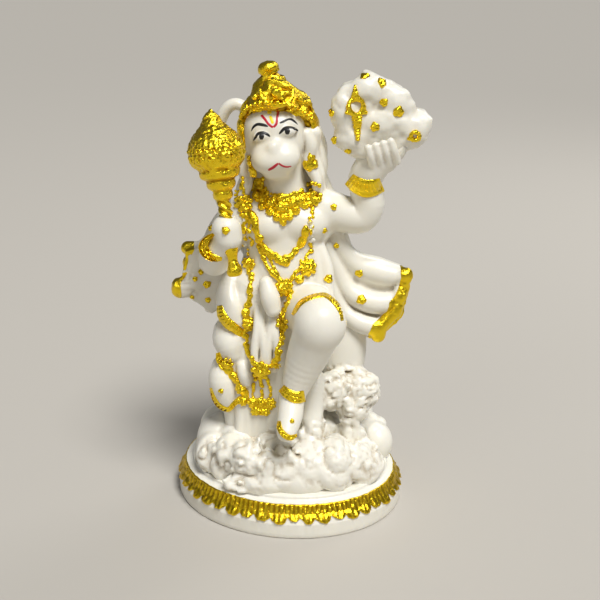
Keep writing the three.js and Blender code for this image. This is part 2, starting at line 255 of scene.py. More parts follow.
# %% A block of clay
OPEN_SPACE = 4.0
FINE_CELL = 0.2
CREASE_REACH, CREASE_DEPTH = 0.9, 0.32
FACES = {"figure": 180000, "rocks": 160000, "mountain": 50000, "tail": 12000, "crown": 90000,
         "mace": 90000, "necklaces": 90000, "garland": 90000, "bead_strands": 40000,
         "mountain_emblem": 30000, "earrings": 14000}


def blurred(field, cells):
    """The mean over a cube of neighbours, that many cells to either side."""
    span = 2 * cells + 1
    for axis in range(3):
        field = np.moveaxis(field, axis, 0)
        total = np.cumsum(np.pad(field, [(cells + 1, cells), (0, 0), (0, 0)], "edge"), 0)
        field = np.moveaxis((total[span:] - total[:-span]) / span, 0, axis)
    return field


class Clay:
    """A block of space in mm that forms are added to and cut from."""

    def __init__(self, low, high, cell=FINE_CELL):
        self.cell = cell * 1
        self.low = np.array(low, float)
        self.count = np.ceil((np.array(high, float) - self.low) / self.cell).astype(int) + 1
        self.field = np.full(self.count, OPEN_SPACE, np.float32)

    def window(self, form, margin):
        """The cells within a margin of a form, and their x, y and z."""
        first = np.clip(np.floor((form[0] - margin - self.low) / self.cell).astype(int), 0, self.count)
        last = np.clip(np.ceil((form[1] + margin - self.low) / self.cell).astype(int) + 1, 0, self.count)
        axes = [(self.low[i] + self.cell * np.arange(first[i], last[i])).astype(np.float32)
                for i in range(3)]
        return tuple(map(slice, first, last)), *np.meshgrid(*axes, indexing="ij", sparse=True)

    def blend(self, form, soft, margin, sign):
        """Melt a form on, or off where the sign is -1, with a fillet about as wide as soft."""
        where, x, y, z = self.window(form, margin)
        here = sign * self.field[where]
        if here.size:
            new = form[2](x, y, z)
            fillet = np.maximum(soft - np.abs(here - new), 0) / soft
            self.field[where] = sign * (np.minimum(here, new) - fillet**2 * soft / 4)

    def add(self, form, soft=1.0):
        self.blend(form, soft, 3.0, 1)

    def cut(self, form, soft=0.5):
        self.blend(form, soft, 1.5, -1)

    def rough(self, form, relief):
        """Lift the surface inside a form by relief(x, y, z), in mm."""
        where, x, y, z = self.window(form, 1.0)
        inside = np.clip(0.5 - form[2](x, y, z) / 2, 0, 1)
        self.field[where] -= inside * relief(x, y, z)

    def mesh(self, name):
        """The skin as a finished piece, thinned to its budget of faces."""
        grid = openvdb.FloatGrid(OPEN_SPACE)
        grid.copyFromArray(np.clip(self.field, -2, OPEN_SPACE).astype(np.float32))
        points, quads = grid.convertToQuads(0.0)
        data = bpy.data.meshes.new(name)
        data.vertices.add(len(points))
        data.vertices.foreach_set("co", ((points * self.cell + self.low) * MM).astype(np.float32).ravel())
        data.loops.add(quads.size)
        data.polygons.add(len(quads))
        data.loops.foreach_set("vertex_index", quads.ravel().astype(np.int32))
        data.polygons.foreach_set("loop_start", np.arange(0, quads.size, 4, dtype=np.int32))
        data.update(calc_edges=True)
        piece = put(name, data)
        faces = 2 * len(quads)
        if faces > FACES[name]:
            thin_out(piece, FACES[name] / faces)
        self.note_hollows(piece)
        print(name, "cells", self.field.size, "faces", faces, "->", len(piece.data.polygons))
        return finish_piece(piece)

    def note_hollows(self, piece):
        """Give each corner a value, 0 on open ground and 1 deep in a crease, by which the materials paint
        shade.
        """
        field = np.clip(self.field, -2, 2)
        around = blurred(field, max(round(CREASE_REACH / self.cell), 1))
        cells = np.round((corner_places(piece) - self.low) / self.cell).astype(int)
        cells = tuple(np.clip(cells, 0, self.count - 1).T)
        set_mask(piece, "hollow", np.clip((field[cells] - around[cells]) / CREASE_DEPTH, 0, 1))


print("pieces of clay:", len(FACES))

# %% [markdown]
# Cast stone is never perfectly smooth, and its rocks are rough as cauliflower. Random values on a
# lattice, blended between its knots, give a bumpiness that is the same on each run.

# %% Bumpiness
KNOTS = 16
LATTICE = np.random.default_rng(7).uniform(-1, 1, (KNOTS, KNOTS, KNOTS)).astype(np.float32)


def noise(x, y, z, size):
    """A value from -1 to 1 that changes over about size mm."""
    cells = [np.asarray(a, np.float32) / size + 64 for a in (x, y, z)]
    floors = [np.floor(a).astype(int) for a in cells]
    parts = [(a - f) ** 2 * (3 - 2 * (a - f)) for a, f in zip(cells, floors)]
    total = 0
    for corner in np.ndindex(2, 2, 2):
        weight = 1
        for part, far in zip(parts, corner):
            weight = weight * (part if far else 1 - part)
        total = total + weight * LATTICE[tuple((f + far) % KNOTS for f, far in zip(floors, corner))]
    return total


print("knots in the lattice:", LATTICE.size)

# %% [markdown]
# ## From the photograph to the model
# The front of the statuette is laid out in pixels of the photograph. A pixel and a depth give one place
# in mm, and a pixel and a finished piece give the place where the line of sight meets that piece.

# %% Places by pixel
PIXELS_PER_MM = 3.15
SIGHT = np.array(Euler((CAMERA_TILT, 0, 0)).to_matrix())
EYE = np.array(CAMERA_PLACE) / MM


def sight(u, v):
    """The direction of a pixel's line of sight."""
    return SIGHT @ np.array([(u - CENTRE_PIXEL) / FOCAL_PIXELS, (PHOTO_PIXELS / 2 - v) / FOCAL_PIXELS, -1])


def spot(u, v, depth):
    """The place in mm where a pixel's line of sight meets the plane y = depth."""
    ray = sight(u, v)
    return EYE + ray * (depth - EYE[1]) / ray[1]


def pixels(points):
    """The pixels (u, v) of places in mm, one row each."""
    away = (points - EYE) @ SIGHT
    return np.stack([CENTRE_PIXEL - FOCAL_PIXELS * away[:, 0] / away[:, 2],
                     PHOTO_PIXELS / 2 + FOCAL_PIXELS * away[:, 1] / away[:, 2]], 1)


def drawn_limb(*stations):
    """A limb through stations (u, v, depth in mm, radius in pixels)."""
    return limb(*[(*spot(u, v, depth), radius / PIXELS_PER_MM) for u, v, depth, radius in stations])


def drawn_egg(place, wide, thick, tall):
    """An egg with half-sizes in pixels across and up, and in mm from front to back."""
    return egg(place, (wide / PIXELS_PER_MM, thick, tall / PIXELS_PER_MM))


def drawn_outline(points, depth):
    """Pixels as an outline of (x, z) at one depth."""
    return [tuple(spot(u, v, depth)[[0, 2]]) for u, v in points]


def seat(piece, u, v):
    """The place in mm and the outward direction where a pixel's line of sight meets a piece."""
    hit, place, outward, _ = piece.ray_cast(Vector(EYE) * MM, Vector(sight(u, v)))
    if not hit:
        return None
    return np.array(place) / MM, np.array(outward)


print("the middle of the photograph looks along", sight(PHOTO_PIXELS / 2, PHOTO_PIXELS / 2).round(2))

# %% [markdown]
# ## The figure
# Head, torso, arms and legs are one skin. The stations of each limb are places in mm: x to the figure's
# left, y away from the camera, z up from the table, then the radius there. The face is a monkey's: a low
# brow, full cheeks and a broad muzzle over a small chin.

# %% Head
COARSE_CELL = 0.4
figure = Clay((-46, -37, 15), (46, 20, 141), COARSE_CELL)

HEAD_TURN = (0, -8, 0)
SKULL = [((-4.2, -0.3, 127.0), (9.8, 10.0, 11.6), 2), ((-4.7, -4.6, 130.4), (8.6, 6.6, 5.4), 3),
         ((-4.5, -5.2, 124.6), (8.4, 7.4, 6.8), 3), ((-4.0, -8.8, 121.0), (6.9, 6.2, 4.8), 2.2),
         ((-3.6, -7.6, 116.8), (4.8, 4.8, 2.6), 1.5), ((-5.0, -13.0, 125.2), (1.5, 1.3, 1.8), 2.4),
         ((-7.6, -10.8, 120.8), (3.9, 3.4, 3.6), 2), ((-0.8, -10.8, 121.6), (3.9, 3.4, 3.6), 2)]
for centre, half, soft in SKULL:
    figure.add(egg(centre, half, HEAD_TURN), soft)
for side, lift in ((-8.3, 0), (-0.4, 1.5)):
    figure.cut(egg((side, -13.4, 128.4 + lift), (3.6, 1.6, 1.9), HEAD_TURN), 2)
    figure.add(egg((side, -10.8, 128.2 + lift), (2.7, 1.5, 1.6), HEAD_TURN), 0.8)
print("head of", len(SKULL), "forms")

# %% Neck, torso and chest
figure.add(limb((-1.6, -1, 117, 6.6), (-0.8, -0.5, 110, 6.4), (-0.5, 0, 103, 8)), 3)
TRUNK = [((-0.8, 0.5, 97.5), (15.6, 8.8, 10.5), 3), ((-1.6, 0, 87), (12.2, 9.2, 12), 4),
         ((-2.6, 0, 76), (13.2, 9.6, 12), 4), ((-2.2, -4.2, 82), (8.6, 6.4, 8.4), 3)]
for centre, half, soft in TRUNK:
    figure.add(egg(centre, half), soft)
for side, lift in ((-7.4, 0), (5.6, 0.6)):
    figure.add(egg((side, -5.6, 98.2 + lift), (6.8, 4.2, 5.2), (0, 0, 8 * np.sign(side))), 1.6)
print("trunk of", len(TRUNK), "forms")

# %% Arms and legs
RAISED_ARM = [
    (11.5, 0.5, 102.8, 6.6), (18.2, 1.4, 100.6, 6.0), (23.4, 1.8, 100.2, 6.0), (25.6, 1, 104.6, 5.6),
    (24.6, 0.2, 110, 4.9), (25.4, -1.2, 114.5, 4.6),
]
MACE_ARM = [
    (-12, 0.5, 101.5, 6.8), (-19, -0.5, 96.5, 6.6), (-23.4, -3.6, 89.2, 6.0), (-23.8, -10, 88.6, 5.2),
    (-20.8, -17.2, 94.4, 4.4),
]
THIGH = [(4, 0, 71, 9.4), (7.4, -11, 71, 8.8), (9.4, -21, 71.6, 8)]
SHIN = [(9.0, -23, 69, 7.4), (6.4, -20.8, 61, 6.9), (3.3, -20.2, 52, 5.3), (1.2, -20.8, 45.6, 3.8)]
FOOT = [(0.8, -21.4, 44, 4.0), (0.4, -24.6, 40.4, 4.1), (-0.8, -29.0, 36.6, 3.2)]
STANDING_LEG = [(-11, -1, 75, 9.6), (-16.2, -3.6, 66, 6.8), (-17.2, -4.6, 57, 5.8), (-18.0, -4.0, 47, 5.6),
                (-18.4, -3.4, 38, 5.6), (-17.4, -3.4, 31, 5.2), (-16.6, -3.4, 24, 5.6)]
LIMBS = [(RAISED_ARM, 2.5), (MACE_ARM, 2.5), (THIGH, 3), (SHIN, 1.6), (FOOT, 2), (STANDING_LEG, 3)]
for stations, soft in LIMBS:
    figure.add(limb(*stations), soft)
KNEE_PLACE, KNEE_HALF = (9.7, -24.2, 71.8), (8.3, 7.6, 8.6)
figure.add(egg(KNEE_PLACE, KNEE_HALF), 1.4)
GATHERS = [[(234, 272, -2, 9), (229, 292, -5, 13), (231, 308, -7.5, 15), (234, 319, -8.5, 12)],
           [(226, 330, -6, 13), (228, 340, -7.5, 16), (232, 351, -8, 12)],
           [(222, 366, -6, 11), (223, 380, -7, 15.5), (226, 394, -7, 13.5), (228, 402, -7, 8)],
           [(243, 366, -10, 7), (245, 374, -11, 8), (246, 382, -11, 6)]]
for gather in GATHERS:
    figure.add(drawn_limb(*gather), 0.9)
print("limbs:", len(LIMBS), "gathers:", len(GATHERS))

# %% Hands
FIST = [(226.5, 229, -19.5, 14.4), (228, 237.5, -19.5, 14.0)]
PALM = [(362, 178, -1, 12.5), (370, 168, -2.5, 15.5), (383, 160, -3.5, 13.5)]
HEEL_OF_HAND = [(388, 161, -3, 8), (398, 153, -4, 7), (403, 148, -5, 4.5)]
FINGERS = 4
for stations, soft in ((FIST, 2), (PALM, 3), (HEEL_OF_HAND, 2)):
    figure.add(drawn_limb(*stations), soft)
for finger in range(FINGERS):
    u, v = 368 + 7.6 * finger, 146 - 2.2 * finger
    figure.add(drawn_limb((u + 6, v + 22, -6.4, 4.2), (u + 2.8, v + 11, -8.4, 4.4),
                          (u, v + 2, -8.8, 3.8)), 0.55)
print("fingers:", FINGERS)

# %% [markdown]
# Hair hangs in wavy locks. Each is a limb that swings from side to side on its way down and grows
# thinner towards its end.

# %% Hair
def lock(top, foot, radius, sway, phase):
    """A wavy lock of hair between two places in mm."""
    top, foot = np.array(top, float), np.array(foot, float)
    stations = []
    for share in np.linspace(0, 1, 10):
        side = sway * math.sin(2.8 * math.pi * share + phase)
        x, y, z = top + (foot - top) * share
        stations.append((x + side, y - 0.5 * abs(side), z, radius * (1 - 0.35 * share)))
    return limb(*stations, steps=2)


SIDE_LOCKS = [((5.4, -4.2, 127.6), (8.4, -4.4, 111)), ((7.2, -2.6, 128), (9.8, -2.6, 108)),
              ((8.4, -0.4, 128), (11.4, -0.2, 107)), ((8.4, 2.6, 128), (12.8, 2.6, 106)),
              ((-13.2, -2.2, 122), (-14.4, -3.6, 108)), ((-13.8, 1.4, 124), (-15.2, 0.6, 106)),
              ((-12.8, 4.6, 126), (-13.2, 4.4, 104))]
for number, (top, foot) in enumerate(SIDE_LOCKS):
    figure.add(lock(top, foot, 2.3, 0.8, 1.9 * number), 0.5)
figure.add(egg((-1.6, 5, 112), (12, 6.4, 22)), 2)
BACK_LOCKS = 9
for number in range(BACK_LOCKS):
    x = -13 + 26 * number / (BACK_LOCKS - 1)
    bow = 3.4 * (1 - (x / 13) ** 2)
    figure.add(lock((x * 0.7 - 3, 4.6 + bow, 134), (x - 1, 7.4 + bow, 88), 2.5, 0.8, 2.2 * number), 0.6)
print("locks of hair:", len(SIDE_LOCKS) + BACK_LOCKS)

# %% [markdown]
# The waistcloth is pleated, and a sash is knotted over it. Soft cloth in a casting is a row of rounded
# ridges, so each pleat is a limb of its own, melted a little into the next.

# %% Waistcloth and sash
PLEATS, SASH_FOLDS, CHEST_FOLDS = 7, 4, 4
figure.add(egg((-3, 0, 52), (13, 10, 30)), 3)
for fold in range(PLEATS):
    u = 243 + 7.4 * fold
    figure.add(drawn_limb((u + 6, 312, -4, 6), (u + 2, 350, -8, 6.2), (u - 1, 390, -9, 6.4),
                          (u - 2, 432, -9, 7)), 0.9)
SASH_KNOT = [(266, 283, -12, 7), (270, 297, -13.2, 10), (273, 309, -13.8, 8.4)]
figure.add(drawn_limb(*SASH_KNOT), 1.0)
for fold in range(SASH_FOLDS):
    u = 256 + 6.6 * fold
    lean = 1.5 * (-1) ** fold
    figure.add(drawn_limb((u + 2, 304, -9, 4.6), (u + lean, 325, -12.5, 4.4), (u - lean, 350, -14, 4.2),
                          (u - 1, 370, -14, 3.4)), 0.7)
for fold in range(CHEST_FOLDS):
    figure.add(drawn_limb((296 + 8 * fold, 236 + 4 * fold, -4, 6),
                          (300 + 9 * fold, 262 + 2 * fold, -6, 6.5),
                          (304 + 8 * fold, 292, -8, 6.5)), 1.0)
print("folds:", PLEATS + SASH_FOLDS + CHEST_FOLDS)

# %% [markdown]
# The cape flies out on both sides in fat pleats that end in a thick, crumpled hem. A sheet behind the
# pleats closes the gaps between them, as the mould does.

# %% Cape
CAPE_RIGHT = [
    [(330, 218, 3, 9), (342, 248, 4, 10), (360, 266, 4, 12), (380, 272.5, 3, 13.5), (399, 276, 2, 11)],
    [(326, 246, 2, 7), (343, 283, 2, 9.5), (360, 298, 1, 11.5), (379, 303, 0, 12), (396, 299, 0, 8.5)],
    [(324, 270, 1, 7), (342, 308, 1, 9), (358, 322, -1, 10.5), (374, 327, -2, 10.5)],
    [(340, 230, 5, 7), (352, 262, 6, 7), (376, 283, 4, 6), (398, 288, 3, 6)],
    [(330, 262, 4, 7), (350, 301, 3, 7), (372, 315, 2, 7), (388, 316, 1, 7)],
]
CAPE_LEFT = [
    [(214, 236, 6, 8), (202, 247, 6, 7.5), (188, 248, 6, 7.5)],
    [(216, 250, 6, 9), (202, 258, 5, 7.5), (189, 263, 5, 6.5)],
    [(220, 262, 6, 10), (204, 276, 4, 9.5), (190, 284, 3, 10.5), (182, 287, 3, 11.6)],
    [(222, 276, 6, 10), (208, 290, 4, 8), (196, 296, 4, 5)],
    [(226, 288, 6, 10), (216, 300, 4, 8), (209, 308, 4, 5)],
]
HEM_RIGHT = [
    (405, 275, 0.4, 8.6), (403, 287, 0.2, 6.4), (400, 293, -0.4, 8), (397, 302, -1, 6),
    (396, 309, -1, 8.6), (388, 318, -1.6, 7.6), (381, 326, -2.4, 7.6), (378, 335, -2.4, 8),
]
for pleat in CAPE_RIGHT + CAPE_LEFT:
    figure.add(drawn_limb(*pleat), 0.7)
figure.add(drawn_limb(*HEM_RIGHT), 0.8)
RIGHT_BACKING = [
    (330, 206), (352, 252), (380, 258), (401, 266), (409, 278), (407, 296), (403, 314), (386, 330),
    (370, 337), (340, 322), (318, 300), (316, 230),
]
LEFT_BACKING = [
    (222, 228), (206, 244), (186, 250), (184, 270), (180, 286), (194, 298), (212, 312), (230, 300),
]
BACKING_DEPTH, BACKING_THICKNESS = 3.6, 4.0
BACK_PLEATS = 9
for backing in (RIGHT_BACKING, LEFT_BACKING):
    figure.add(slab(drawn_outline(backing, BACKING_DEPTH), BACKING_DEPTH, BACKING_THICKNESS), 1.2)
for fold in range(BACK_PLEATS):
    x = -16 + 4 * fold
    wave = 0.6 * (-1) ** fold
    figure.add(limb((x * 0.66, 8, 100, 3), (x * 0.8 + wave, 10.5, 84, 3.4), (x - wave, 12, 66, 3.6),
                    (x + wave, 12, 48, 3.4), (x * 1.02, 11.4, 34, 3)), 0.7)
for hem in (egg((40.5, -1, 71), (6, 9, 13)), egg((-37, 3, 74), (6, 8, 13))):
    figure.rough(hem, lambda x, y, z: 0.5 * noise(x, y, z, 2.6) + 0.3 * noise(x, y, z, 1.1))
body = figure.mesh("figure")
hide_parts(NODE)

# %% [markdown]
# ## Tail
# The tail rises behind the back and curls over beside the crown, where it shows as a white loop. A
# bevelled curve would do as well. A limb of clay is used, so that its skin is like the figure's.

# %% Tail
tail_clay = Clay((-32, 0, 66), (-4, 20, 142), 0.35)
TAIL = [
    (-3, 8, 70, 3.2), (-13, 13.4, 84, 2.9), (-23, 13, 104, 2.5), (-23.6, 9.4, 122, 2.1),
    (-22.6, 8, 129, 2), (-20, 7, 134, 2), (-17, 6.4, 135.6, 1.9), (-14, 6.4, 134, 1.9),
    (-11.4, 7, 129, 1.8), (-9, 7, 123, 1.6),
]
tail_clay.add(limb(*TAIL), 0.6)
tail = tail_clay.mesh("tail")

# %% [markdown]
# ## Mountain
# The lifted mountain is a flat boulder with a lobed rim, seen face on, and the fingers come up in front
# of it. Its outline is drawn in pixels, as it is what one sees, and its rounded rim, lobes and bumps are
# added as clay.

# %% Mountain
MOUNTAIN = [
    (329, 113), (334, 101), (345, 84), (357, 78), (364, 72), (372, 72), (381, 77), (391, 79), (402, 87),
    (407, 96), (414, 102), (416, 108), (425, 110), (431, 117), (429, 127), (427, 139), (416, 147),
    (404, 150), (390, 158), (370, 166), (356, 158), (344, 153), (335, 147), (332, 139), (334, 129),
    (331, 121),
]
MOUNTAIN_DEPTH, LOBE_DEPTH = -1.0, -4.6
mountain_clay = Clay((10, -12, 108), (48, 10, 149), 0.3)


def pillow(outline, depth, thickness, rim):
    """A slab whose rim is rounded over rim mm."""
    low, high, edge = slab(outline, depth, FAR)

    def distance(x, y, z):
        side = np.maximum(edge(x, depth, z) + rim, 0)
        face = np.maximum(np.abs(y - depth) - thickness / 2 + rim, 0)
        return np.sqrt(side**2 + face**2) - rim

    return low, high, distance


mountain_clay.add(pillow(drawn_outline(MOUNTAIN, MOUNTAIN_DEPTH), MOUNTAIN_DEPTH, 11, 4.5), 0.5)
MOUNTAIN_LOBES = [
    (345, 108, 13, 20), (370, 92, 18, 14), (393, 102, 17, 16), (412, 128, 15, 14), (380, 124, 18, 14),
    (346, 138, 12, 12),
]
for u, v, wide, tall in MOUNTAIN_LOBES:
    mountain_clay.add(drawn_egg(spot(u, v, LOBE_DEPTH), wide, 3.2, tall), 2.0)
mountain_clay.rough(egg((28, -1, 133), (20, 9, 20)),
                    lambda x, y, z: 0.8 * noise(x, y, z, 5.5) + 0.35 * noise(x, y, z, 2.2))
mountain = mountain_clay.mesh("mountain")

# %% [markdown]
# ## Rocks
# The heap is built from boulders that stand at shares of the plinth's half-sizes. The ones at the front
# left are a sharp crag, and the knob on the right is as rough as cauliflower: folding a noise at zero
# makes rounded lumps with sharp creases between them, and a few sizes of it on top of each other look
# like rock.

# %% Rocks
PLINTH_HALF = (39.9, 33.85)
PLINTH_HEIGHT = 13.0
ROCK_ROOT = 3
CRAG = [
    (-0.65, -0.24, 12.5, 6.5, 7), (-0.51, -0.41, 15, 6.5, 6.5), (-0.34, -0.54, 15, 6.5, 6),
    (-0.16, -0.6, 12.5, 7, 6), (-0.22, -0.65, 6, 12, 5.5), (0.08, -0.66, 9, 9.5, 6),
    (0.1, -0.62, 14, 8, 6.5),
]
BOULDERS = [(0.35, -0.53, 15, 11, 9), (0.6, -0.39, 11, 8.5, 9), (0.55, -0.18, 16.2, 5.6, 5.6),
            (0.78, 0.03, 11.5, 5.8, 6.5), (-0.63, -0.03, 15.5, 7.5, 8), (-0.4, -0.18, 16, 10, 9),
            (-0.08, -0.27, 16.5, 11, 9)]
BACK_ROCKS = [(-0.55, 0.24, 16, 10, 9), (-0.3, 0.5, 21, 13, 10), (0.15, 0.53, 23, 13, 10.5),
              (0.5, 0.41, 20, 11, 9.5), (0.7, 0.18, 13, 8, 7), (0, 0.12, 23, 20, 15)]
COLUMN = [((19, 4, 49), (7.6, 7, 20))]
WEDGE = [(319, 376, -7.5, 5), (315, 392, -9.5, 9), (313, 412, -11.5, 11), (311, 436, -15, 13)]
KNOB = [((16, -5, 40), (7, 6.5, 7.5)), ((24, -3, 40), (7.6, 6.5, 7)), ((22, -5, 34.5), (6, 6, 6.5))]


def billow(x, y, z, size):
    """Rounded lumps about size mm apart, from 0 in their creases to about 1 on top."""
    return np.abs(noise(x, y, z, size)) * 1.6


rocks_clay = Clay((-40, -34, 10), (40, 32, 72), COARSE_CELL)
rocks_clay.add(turned((-1, 1, 9), (-1, 1, 30), [(0, 24), (6, 23), (13, 17), (20, 12)]), 2)
for share_x, share_y, top, wide, deep in CRAG + BOULDERS + BACK_ROCKS:
    centre = (share_x * PLINTH_HALF[0], share_y * PLINTH_HALF[1], PLINTH_HEIGHT + (top - ROCK_ROOT) / 2)
    rocks_clay.add(egg(centre, (wide, deep, (top + ROCK_ROOT) / 2)), 0.8)
for centre, half in COLUMN + KNOB:
    rocks_clay.add(egg(centre, half, (0, 6, 0)), 1.2)
rocks_clay.add(drawn_limb(*WEDGE), 3)
ROUGH_PLACES = [((-15, -19, 20), (22, 12, 13), 2.0, 1.2), ((13, -16, 20), (20, 13, 14), 1.6, 0.75)]
for centre, half, coarse, fine in ROUGH_PLACES:
    rocks_clay.rough(egg(centre, half), lambda x, y, z: (
        coarse * (billow(x, y, z, 8) - 0.4) + fine * (billow(x, y, z, 3.3) - 0.4)
        + 0.24 * noise(x, y, z, 1.2)))
rocks_clay.rough(egg((20.5, -5, 39.5), (12, 9, 9.5)),
                 lambda x, y, z: 1.3 * billow(x, y, z, 3.4) + 0.6 * billow(x, y, z, 1.7) - 0.9)
rocks_clay.rough(egg((0, 12, 22), (38, 22, 20)), lambda x, y, z: 0.9 * billow(x, y, z, 6) - 0.3)
rocks = rocks_clay.mesh("rocks")

# %% [markdown]
# ## Plinth
# The plinth is an oval drum. Around it runs a band of petals under fine upright reeds. A turned or lofted
# mesh would be too even, so the wall is one grid of rings, pushed out by a formula of the angle and the
# height. Each petal hangs a little lower or higher than the next, and the reeds fade at the two ends of
# the oval, as in a worn mould.

# %% Plinth wall
PLINTH_TURN = math.radians(-16)
PETALS = 46
REEDS_PER_PETAL = 3
PETAL_FOOT, PETAL_TOP, REED_TOP = 5.4, 8.6, 11.4


def waver(angle, z, size):
    """A bumpiness that runs around the oval."""
    return noise(40 * np.cos(angle), 34 * np.sin(angle), z, size)


def plinth_wall(angle, z):
    """How far the wall stands inside the oval, in mm, the paint's edge and the painted shade at each place.
    """
    wander = angle + 0.012 * np.sin(5 * angle) + 0.008 * np.sin(11 * angle + 1)
    petal = np.abs(np.sin(PETALS * wander / 2))
    fate = np.sin(2.3 * np.floor(PETALS * wander / (2 * np.pi)))
    crisp = 0.3 + 0.7 * np.abs(np.sin(angle + PLINTH_TURN)) ** 1.5
    reed = np.cos(PETALS * REEDS_PER_PETAL * wander)
    up = np.clip((z - PETAL_FOOT) / (PETAL_TOP - PETAL_FOOT), 0, 1)
    above = np.clip((z - PETAL_TOP) / (REED_TOP - PETAL_TOP), 0, 1)
    ragged = 0.35 * waver(angle, z, 1.5)
    scallop = PETAL_FOOT + 0.6 + 0.5 * fate + ragged + (1.5 - 0.8 * (1 - crisp)) * (1 - petal**0.6)
    belly = np.sin(np.pi * np.maximum(up, 0.12) ** 0.6)
    bulge = 0.85 * petal**0.5 * belly * (z > scallop) * (z < PETAL_TOP)
    tassel = 0.2 * crisp * reed * np.sin(np.pi * up) * (z > scallop)
    ribs = 0.34 * crisp * reed * np.sin(np.pi * above) ** 0.6 * (z >= PETAL_TOP) * (z <= REED_TOP)
    lip = 0.3 * np.exp(-(((z - REED_TOP + 0.15) / 0.22) ** 2))
    taper = 1.3 * up + 1.3 * above
    ledge = 2.6 * np.clip((z - REED_TOP) / 0.4, 0, 1) ** 2
    foot = 0.5 * np.clip(1 - z / 0.8, 0, 1) ** 2
    # Painted shade: darker in the grooves between the reeds above the petals' edge, and darker towards the
    # two ends of the oval.
    deep = np.clip(0.3 - 0.5 * reed, 0, 1) * crisp * (z > scallop + 0.4) + 0.3 * (1 - crisp)
    deep = deep * (z < REED_TOP)
    paint = np.minimum(z - scallop, REED_TOP + 0.1 - z)
    return foot + taper + ledge - bulge - tassel - ribs - lip, paint, deep


print("petals:", PETALS, "reeds:", PETALS * REEDS_PER_PETAL)

# %% Plinth mesh
def ring_faces(rings, wide, first=0, closed=True):
    """Four-cornered faces between rings, each with so many corners, counted from the first corner."""
    faces = []
    for ring in range(rings - 1):
        for k in range(wide if closed else wide - 1):
            a = first + ring * wide + k
            b = first + ring * wide + (k + 1) % wide
            faces.append((a, b, b + wide, a + wide))
    return faces


def build_plinth():
    around = PETALS * 14
    band = np.arange(PETAL_FOOT, REED_TOP + 0.5, 0.16)
    heights = np.concatenate([[0, 0.3, 0.8, 2, 3.5, 5], band, [12.2, PLINTH_HEIGHT]])
    angle, z = np.meshgrid(np.arange(around) * 2 * np.pi / around, heights)
    inset, paint, deep = plinth_wall(angle, z)
    inset = inset + np.where(paint > 0, 0.28, 0.08) * waver(angle, z, 1.1)
    inset[0] = 0.5
    x = (PLINTH_HALF[0] - inset) * np.cos(angle)
    y = (PLINTH_HALF[1] - inset) * np.sin(angle)
    places = np.stack([x * math.cos(PLINTH_TURN) - y * math.sin(PLINTH_TURN),
                       x * math.sin(PLINTH_TURN) + y * math.cos(PLINTH_TURN), z], -1).reshape(-1, 3)
    bottom, top = tuple(range(around))[::-1], tuple(range(len(places) - around, len(places)))
    piece = piece_from("plinth", places, ring_faces(len(heights), around) + [bottom, top])
    for end in piece.data.polygons[-2:]:
        end.use_smooth = False
    set_mask(piece, "gold", 0.5 + 2.5 * paint)
    # The painted shade is kept where the clay pieces keep their crease values, so the shared group darkens
    # the grooves.
    set_mask(piece, "hollow", deep)
    return piece


plinth = build_plinth()
print("plinth", len(plinth.data.polygons), "faces")

# %% [markdown]
# ## Crown
# The crown is a gilded bell with a knob, embossed all over with scrolls, and a big medallion over the
# brow. The contour lines of a slow noise wind and close on themselves as scrollwork does, so a wave of
# that noise raises the scrolls. The rim is a slanting cut, high over the brow and low at the back.

# %% Crown
CROWN_FOOT = (-3.5, 0.4, 130)
CROWN_TIP = (-6.8, 0.4, 149.9)
CROWN_PROFILE = [
    (-9.5, 10.2), (-4.5, 10.8), (-1, 11.4), (1.5, 11.9), (4, 11.4), (6, 10.8), (8.2, 9.8), (10.2, 7.6),
    (12, 6.2), (13.8, 5.0), (15.2, 3.2), (15.8, 2.6), (16.4, 3.1), (18.0, 3.3), (19.4, 2.3), (20.0, 0.2),
]
RIM_PLACE = (-3.5, 0, 129.4)
RIM_OUTWARD = (0.13, 0.72, 1)
CROWN_LUMPS = [((-14.2, 0.4, 126.4), (1.9, 5.4, 5.8), (20, -8, 0), 1.2),
               ((7.8, 1.0, 129.0), (1.9, 5.4, 5.8), (20, -8, 0), 1.2),
               (spot(276, 93, -7.9), (5.0, 2.2, 4.6), (-24, -8, 0), 1.2),
               ((5.0, -2.4, 136.6), (1.9, 3.2, 2.4), HEAD_TURN, 1.0)]
MEDALLION_EDGE = [
    (260, 90, -8.2, 1.8), (262, 98, -9.4, 2.2), (269, 104, -10.6, 2.4), (278, 105.6, -11, 2.4),
    (286, 103.6, -10.6, 2.4), (292, 98, -9.4, 2.0), (293, 90, -8, 1.8),
]
BOSSES = [(276, 93, -10, 4.6), (255, 97, -8.6, 3.4), (300, 99, -8.2, 3.2), (274, 80, -6.4, 3.4)]
RIM_BEADS, RIM_RADIUS = 40, 11.7


def scrolls(x, y, z):
    return 0.4 * np.sin(13 * noise(x, y, z, 5)) + 0.22 * noise(x, y, z, 0.9) - 0.1


crown_clay = Clay((-21, -16, 117), (13, 15, 152))
crown_clay.add(turned(CROWN_FOOT, CROWN_TIP, CROWN_PROFILE), 0.3)
crown_clay.cut(beyond(RIM_PLACE, RIM_OUTWARD), 0.6)
for centre, half, turn, soft in CROWN_LUMPS:
    crown_clay.add(egg(centre, half, turn), soft)
crown_clay.rough(egg((-4.4, 0.4, 134.5), (15, 15, 12.5), (0, -9, 0)), scrolls)
crown_clay.add(drawn_limb(*MEDALLION_EDGE), 0.3)
for u, v, depth, wide in BOSSES:
    crown_clay.add(drawn_egg(spot(u, v, depth), wide, 1.0, wide), 0.3)
for number in range(RIM_BEADS):
    angle = 2 * math.pi * number / RIM_BEADS
    x, y = RIM_RADIUS * math.cos(angle), RIM_RADIUS * math.sin(angle)
    z = RIM_PLACE[2] + 0.5 - (RIM_OUTWARD[0] * x + RIM_OUTWARD[1] * y) / RIM_OUTWARD[2]
    crown_clay.add(egg((RIM_PLACE[0] + x, y + 0.4, z), (0.8, 0.8, 0.8)), 0.3)
crown = crown_clay.mesh("crown")

